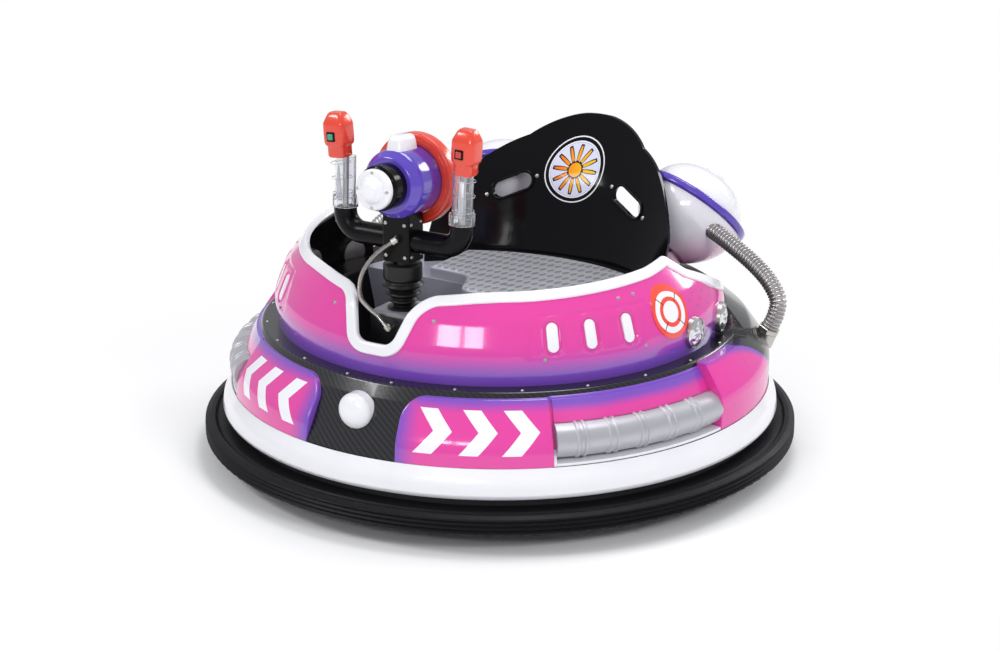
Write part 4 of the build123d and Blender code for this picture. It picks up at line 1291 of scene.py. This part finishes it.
def handles(strip_paint, frame_paint, green, red):
    """Heads with their buttons, and the strip and rings of the clear grips."""
    strips, frames, heads = [], [], []
    for side in SIDES:
        low = Vector((GRIP_X * side, GRIP_Y, GRIP_Z))
        lean = Vector((side * sin(radians(GRIP_LEAN)), 0, cos(radians(GRIP_LEAN))))
        turn = (0, GRIP_LEAN * side, 0)
        for height in GRIP_LINES:
            ring = [(0.0223, -0.0009), (0.0231, 0.0), (0.0223, 0.0009)]
            strips.append(lathe("line", ring, low + lean * (height - GRIP_Z), lean, 48))
        frames.append(round_box("strip", (0.011, 0.003, 0.082), 0.0012, low + lean * STRIP_UP + STRIP_OUT, turn))
        hand = "left" if side > 0 else "right"
        top = low + lean * (HEAD_LOW - GRIP_Z)
        matrix = Matrix.Translation(top) @ Matrix.Rotation(radians(GRIP_LEAN * side), 4, "Y")
        heads.append(head(matrix))
        face = matrix @ KEY_PLACE
        bezel = round_box("bezel_" + hand, (0.021, 0.005, 0.021), 0.0020, face, turn)
        fit(bezel, frame_paint, "grip_heads", stands_for=False)
        key = round_box("key_" + hand, (0.0135, 0.005, 0.0135), 0.0016, face + KEY_OUT, turn)
        fit(key, red if side > 0 else green, "grip_heads", stands_for=False)
    fit(joined("head_pair", heads), PAINTS["red_gloss"], "grip_heads")
    fit(joined("grip_lines", strips), strip_paint, "grips", stands_for=False)
    fit(joined("grip_strips", frames), PAINTS["white_gloss"], "grip_cores", stands_for=False)


HEAD_LOW, HEAD_SQUARE = 0.752, 0.42        # foot of the head; 1 is an oval and 0 a box
# height over the foot of the head, half width, half depth
HEAD_RINGS = ((-0.002, 0.0165, 0.0150), (-0.001, 0.0200, 0.0180), (0.003, 0.0225, 0.0200), (0.022, 0.0225, 0.0200),
              (0.024, 0.0235, 0.0208), (0.028, 0.0272, 0.0235), (0.034, 0.0285, 0.0245), (0.052, 0.0287, 0.0247),
              (0.070, 0.0285, 0.0245), (0.075, 0.0278, 0.0240), (0.088, 0.0215, 0.0185), (0.094, 0.0180, 0.0150),
              (0.0968, 0.0150, 0.0120))


def head(matrix):
    """Moulded head of a grip: stepped neck, soft edges and a chamfered top."""
    rings = []
    for up, wide, deep in HEAD_RINGS:
        ring = []
        for k in range(48):
            c, s = cos(2 * pi * k / 48), sin(2 * pi * k / 48)
            x, y = copysign(wide * abs(c) ** HEAD_SQUARE, c), copysign(deep * abs(s) ** HEAD_SQUARE, s)
            ring.append(matrix @ Vector((x, y, up)))
        rings.append(ring)
    return skin("head", rings)


SLOT_X, SLOT_Z, SLOT_TILT = 0.162, 0.526, -24
SLOT_STRAIGHT, SLOT_R, SLOT_SCREW = 0.0285, 0.0225, 0.062


def seat_slots(paint, steel):
    """Frames of the belt slots and their screws, laid on the curved seat back."""
    frames, places = [], []
    lean_at = look_up([Vector((0.500, 0.374)), Vector((0.568, 0.560)), Vector((0.680, 0.700))], 1, 0)

    def on_back(x, z, sunk):
        r = lean_at(z)
        return Vector((x, SEAT_Y + sqrt(r * r - x * x) - sunk, z))

    for side in SIDES:
        outline = []
        turn = radians(SLOT_TILT * side)
        for k in range(64):
            t = 2 * pi * k / 64
            u = SLOT_STRAIGHT * (1 if cos(t) > 0 else -1) + SLOT_R * cos(t)
            v = SLOT_R * sin(t)
            outline.append(on_back(SLOT_X * side + u * cos(turn) - v * sin(turn),
                                   SLOT_Z + u * sin(turn) + v * cos(turn), 0.0015))
        line = even(outline + outline[:1], 0.004)[:-1]
        frames.append(sweep("frame", line, circle(0.0036, 10), closed=True))
        for u in (-SLOT_SCREW, SLOT_SCREW):
            place = on_back(SLOT_X * side + u * cos(turn), SLOT_Z + u * sin(turn), 0.001)
            places.append((place, Vector((-place.x, -(place.y - SEAT_Y), 0.20)).normalized()))
    fit(joined("slot_frames", frames), paint, "seat_back", stands_for=False)
    repeated("slot_screws", screw(), places, 1.1, steel, "seat_back")


# bearing and height of the screw covers on one side of the shell
COVERS = ((14.8, 0.445), (41.5, 0.371), (63.0, 0.4725), (68.0, 0.4745), (67.8, 0.371), (92.0, 0.340))


def body_screws(steel, grey):
    """Screws round the ledge, and grey covers over those of the shell."""
    ledge = [(around(b * side, 0.5455, 0.3122), Vector((0, 0, 1))) for b in range(6, 172, 15) for side in SIDES]
    repeated("ledge_screws", screw(), ledge, 0.8, steel, "lower_cover")
    covers = []
    for side in SIDES:
        for b, z in COVERS:
            out = shell_out(z)
            covers.append((around(b * side, SHELL_AT(z), z), around(b * side, out.x, out.y)))
    profile = [(0.0, 0.0016), (0.003, 0.0014), (0.0045, 0.0006), (0.005, 0.0), (0.005, -0.001), (0.0, -0.001)]
    cap = lathe("cap", profile, (0, 0, 0), (0, 0, 1), 20)
    repeated("screw_covers", cap, covers, 0.9, grey, "upper_shell")


# ---- putting it together ------------------------------------------------------------------------
# material slot of the record: kind of finish, colour, and what differs from the kind's own values
FINISHES = {
    "bumper_rubber": (matt, (0.008, 0.008, 0.010), {"roughness": 0.45, "grain": 260.0, "depth": 0.0005, "shine": 0.16}),
    "white_gloss": (gloss, (0.88, 0.88, 0.92), {}),
    "pink_gloss": (gloss, PINK, {}),
    "silver_gloss": (gloss, (0.56, 0.56, 0.60), {"roughness": 0.40, "variation": 0.08, "metallic": 0.55, "coat": 0.1}),
    "seat_black": (gloss, (0.003, 0.003, 0.004), {"roughness": 0.10, "coat": 0.0, "shine": 0.15}),
    "satin_black": (matt, (0.004, 0.004, 0.005), {"roughness": 0.27, "grain": 400.0, "depth": 0.0003, "shine": 0.15}),
    "frame_black": (matt, (0.02, 0.02, 0.022), {"roughness": 0.5, "grain": 200.0, "depth": 0.0004}),
    "boot_rubber": (matt, (0.007, 0.007, 0.008), {"roughness": 0.38, "depth": 0.0003, "shine": 0.4}),
    "lens": (metal, (0.86, 0.87, 0.90), {"roughness": 0.1}),
    "bright_steel": (metal, (0.60, 0.57, 0.54), {"roughness": 0.2}),
    "plated_steel": (metal, (0.62, 0.60, 0.56), {"roughness": 0.28}),
    "violet_gloss": (gloss, (0.10, 0.05, 0.46), {}),
    "red_gloss": (gloss, (0.80, 0.055, 0.025), {"roughness": 0.2}),
    "grey_gloss": (gloss, (0.30, 0.30, 0.33), {"roughness": 0.25}),
    "tyre": (matt, (0.02, 0.02, 0.021), {"roughness": 0.7, "grain": 180.0, "depth": 0.0008}),
    "hub_grey": (metal, (0.42, 0.43, 0.45), {"roughness": 0.4}),
    "zinc": (metal, (0.60, 0.60, 0.58), {"roughness": 0.35}),
}
PAINTS = {name: kind(name, colour, **settings) for name, (kind, colour, settings) in FINISHES.items()}
PAINTS["carbon_look"] = carbon()
PAINTS["clear_grip"] = clear_plastic()
NODE_PAINTS = {
    "upper_shell": shell_pink(),
    "front_panels": panel_pink(),
    "side_panels": strip_pink(),
    "rear_cowl": cowl_paint(),
    "target_discs": target_paint(),
    "seat_pan": pan_silver(),
    "pod_bodies": pod_white(),
    "seat_back": seat_gloss(),
    "lower_cover": cover_paint(),
    "gun_barrel": barrel_violet(),
    "pod_rings": PAINTS["violet_gloss"],
    "vent_inserts": PAINTS["white_gloss"],
    "console": console_grey(),
    "seat_base": gloss("base_silver", (0.38, 0.38, 0.46), roughness=0.34, metallic=0.1),
}
for node_name, node_object in NODES.items():
    for material_slot in node_object.material_slots:
        material_slot.material = NODE_PAINTS.get(node_name) or PAINTS[RECORD_SLOTS[node_name]]

studio()
body_shell = fit(upper_shell(), NODE_PAINTS["upper_shell"], "upper_shell")
liner_faces(body_shell, PAINTS["satin_black"])
fit(vent_plates(), PAINTS["white_gloss"], "vent_inserts")
fit(side_blocks(), NODE_PAINTS["rear_cowl"], "side_panels", stands_for=False)
fit(pipe_covers(), PAINTS["silver_gloss"], "side_pipes")
fit(rim_trim(), PAINTS["white_gloss"], "rim_trim")
fit(front_panels(), NODE_PAINTS["front_panels"], "front_panels")
hose = ribbed_hose("pod_hose", metres(HOSE), low=0.0172, high=0.0208, pitch=0.0088, steps=10, count=32)
hose_steel = gloss("hose_steel", (0.52, 0.50, 0.50), roughness=0.30, metallic=0.95, coat=0.0, peel=0.0)
finished(fit(mirrored("pod_hose_pair", hose), hose_steel, "pod_hoses"), angle=100)
fit(mirrored("hose_nut_pair", hose_nut()), PAINTS["plated_steel"], "hose_nuts")
boot_and_conduit(PAINTS["boot_rubber"], PAINTS["bright_steel"])
lamps(PAINTS["plated_steel"], PAINTS["lens"])
gun(PAINTS["red_gloss"], NODE_PAINTS["gun_barrel"], PAINTS["white_gloss"], PAINTS["plated_steel"])
handles(PAINTS["clear_grip"], PAINTS["satin_black"], green=gloss("key_green", (0.02, 0.35, 0.20), roughness=0.3),
        red=gloss("key_red", (0.55, 0.03, 0.02), roughness=0.3))
seat_slots(PAINTS["seat_black"], PAINTS["plated_steel"])
body_screws(PAINTS["plated_steel"], PAINTS["grey_gloss"])
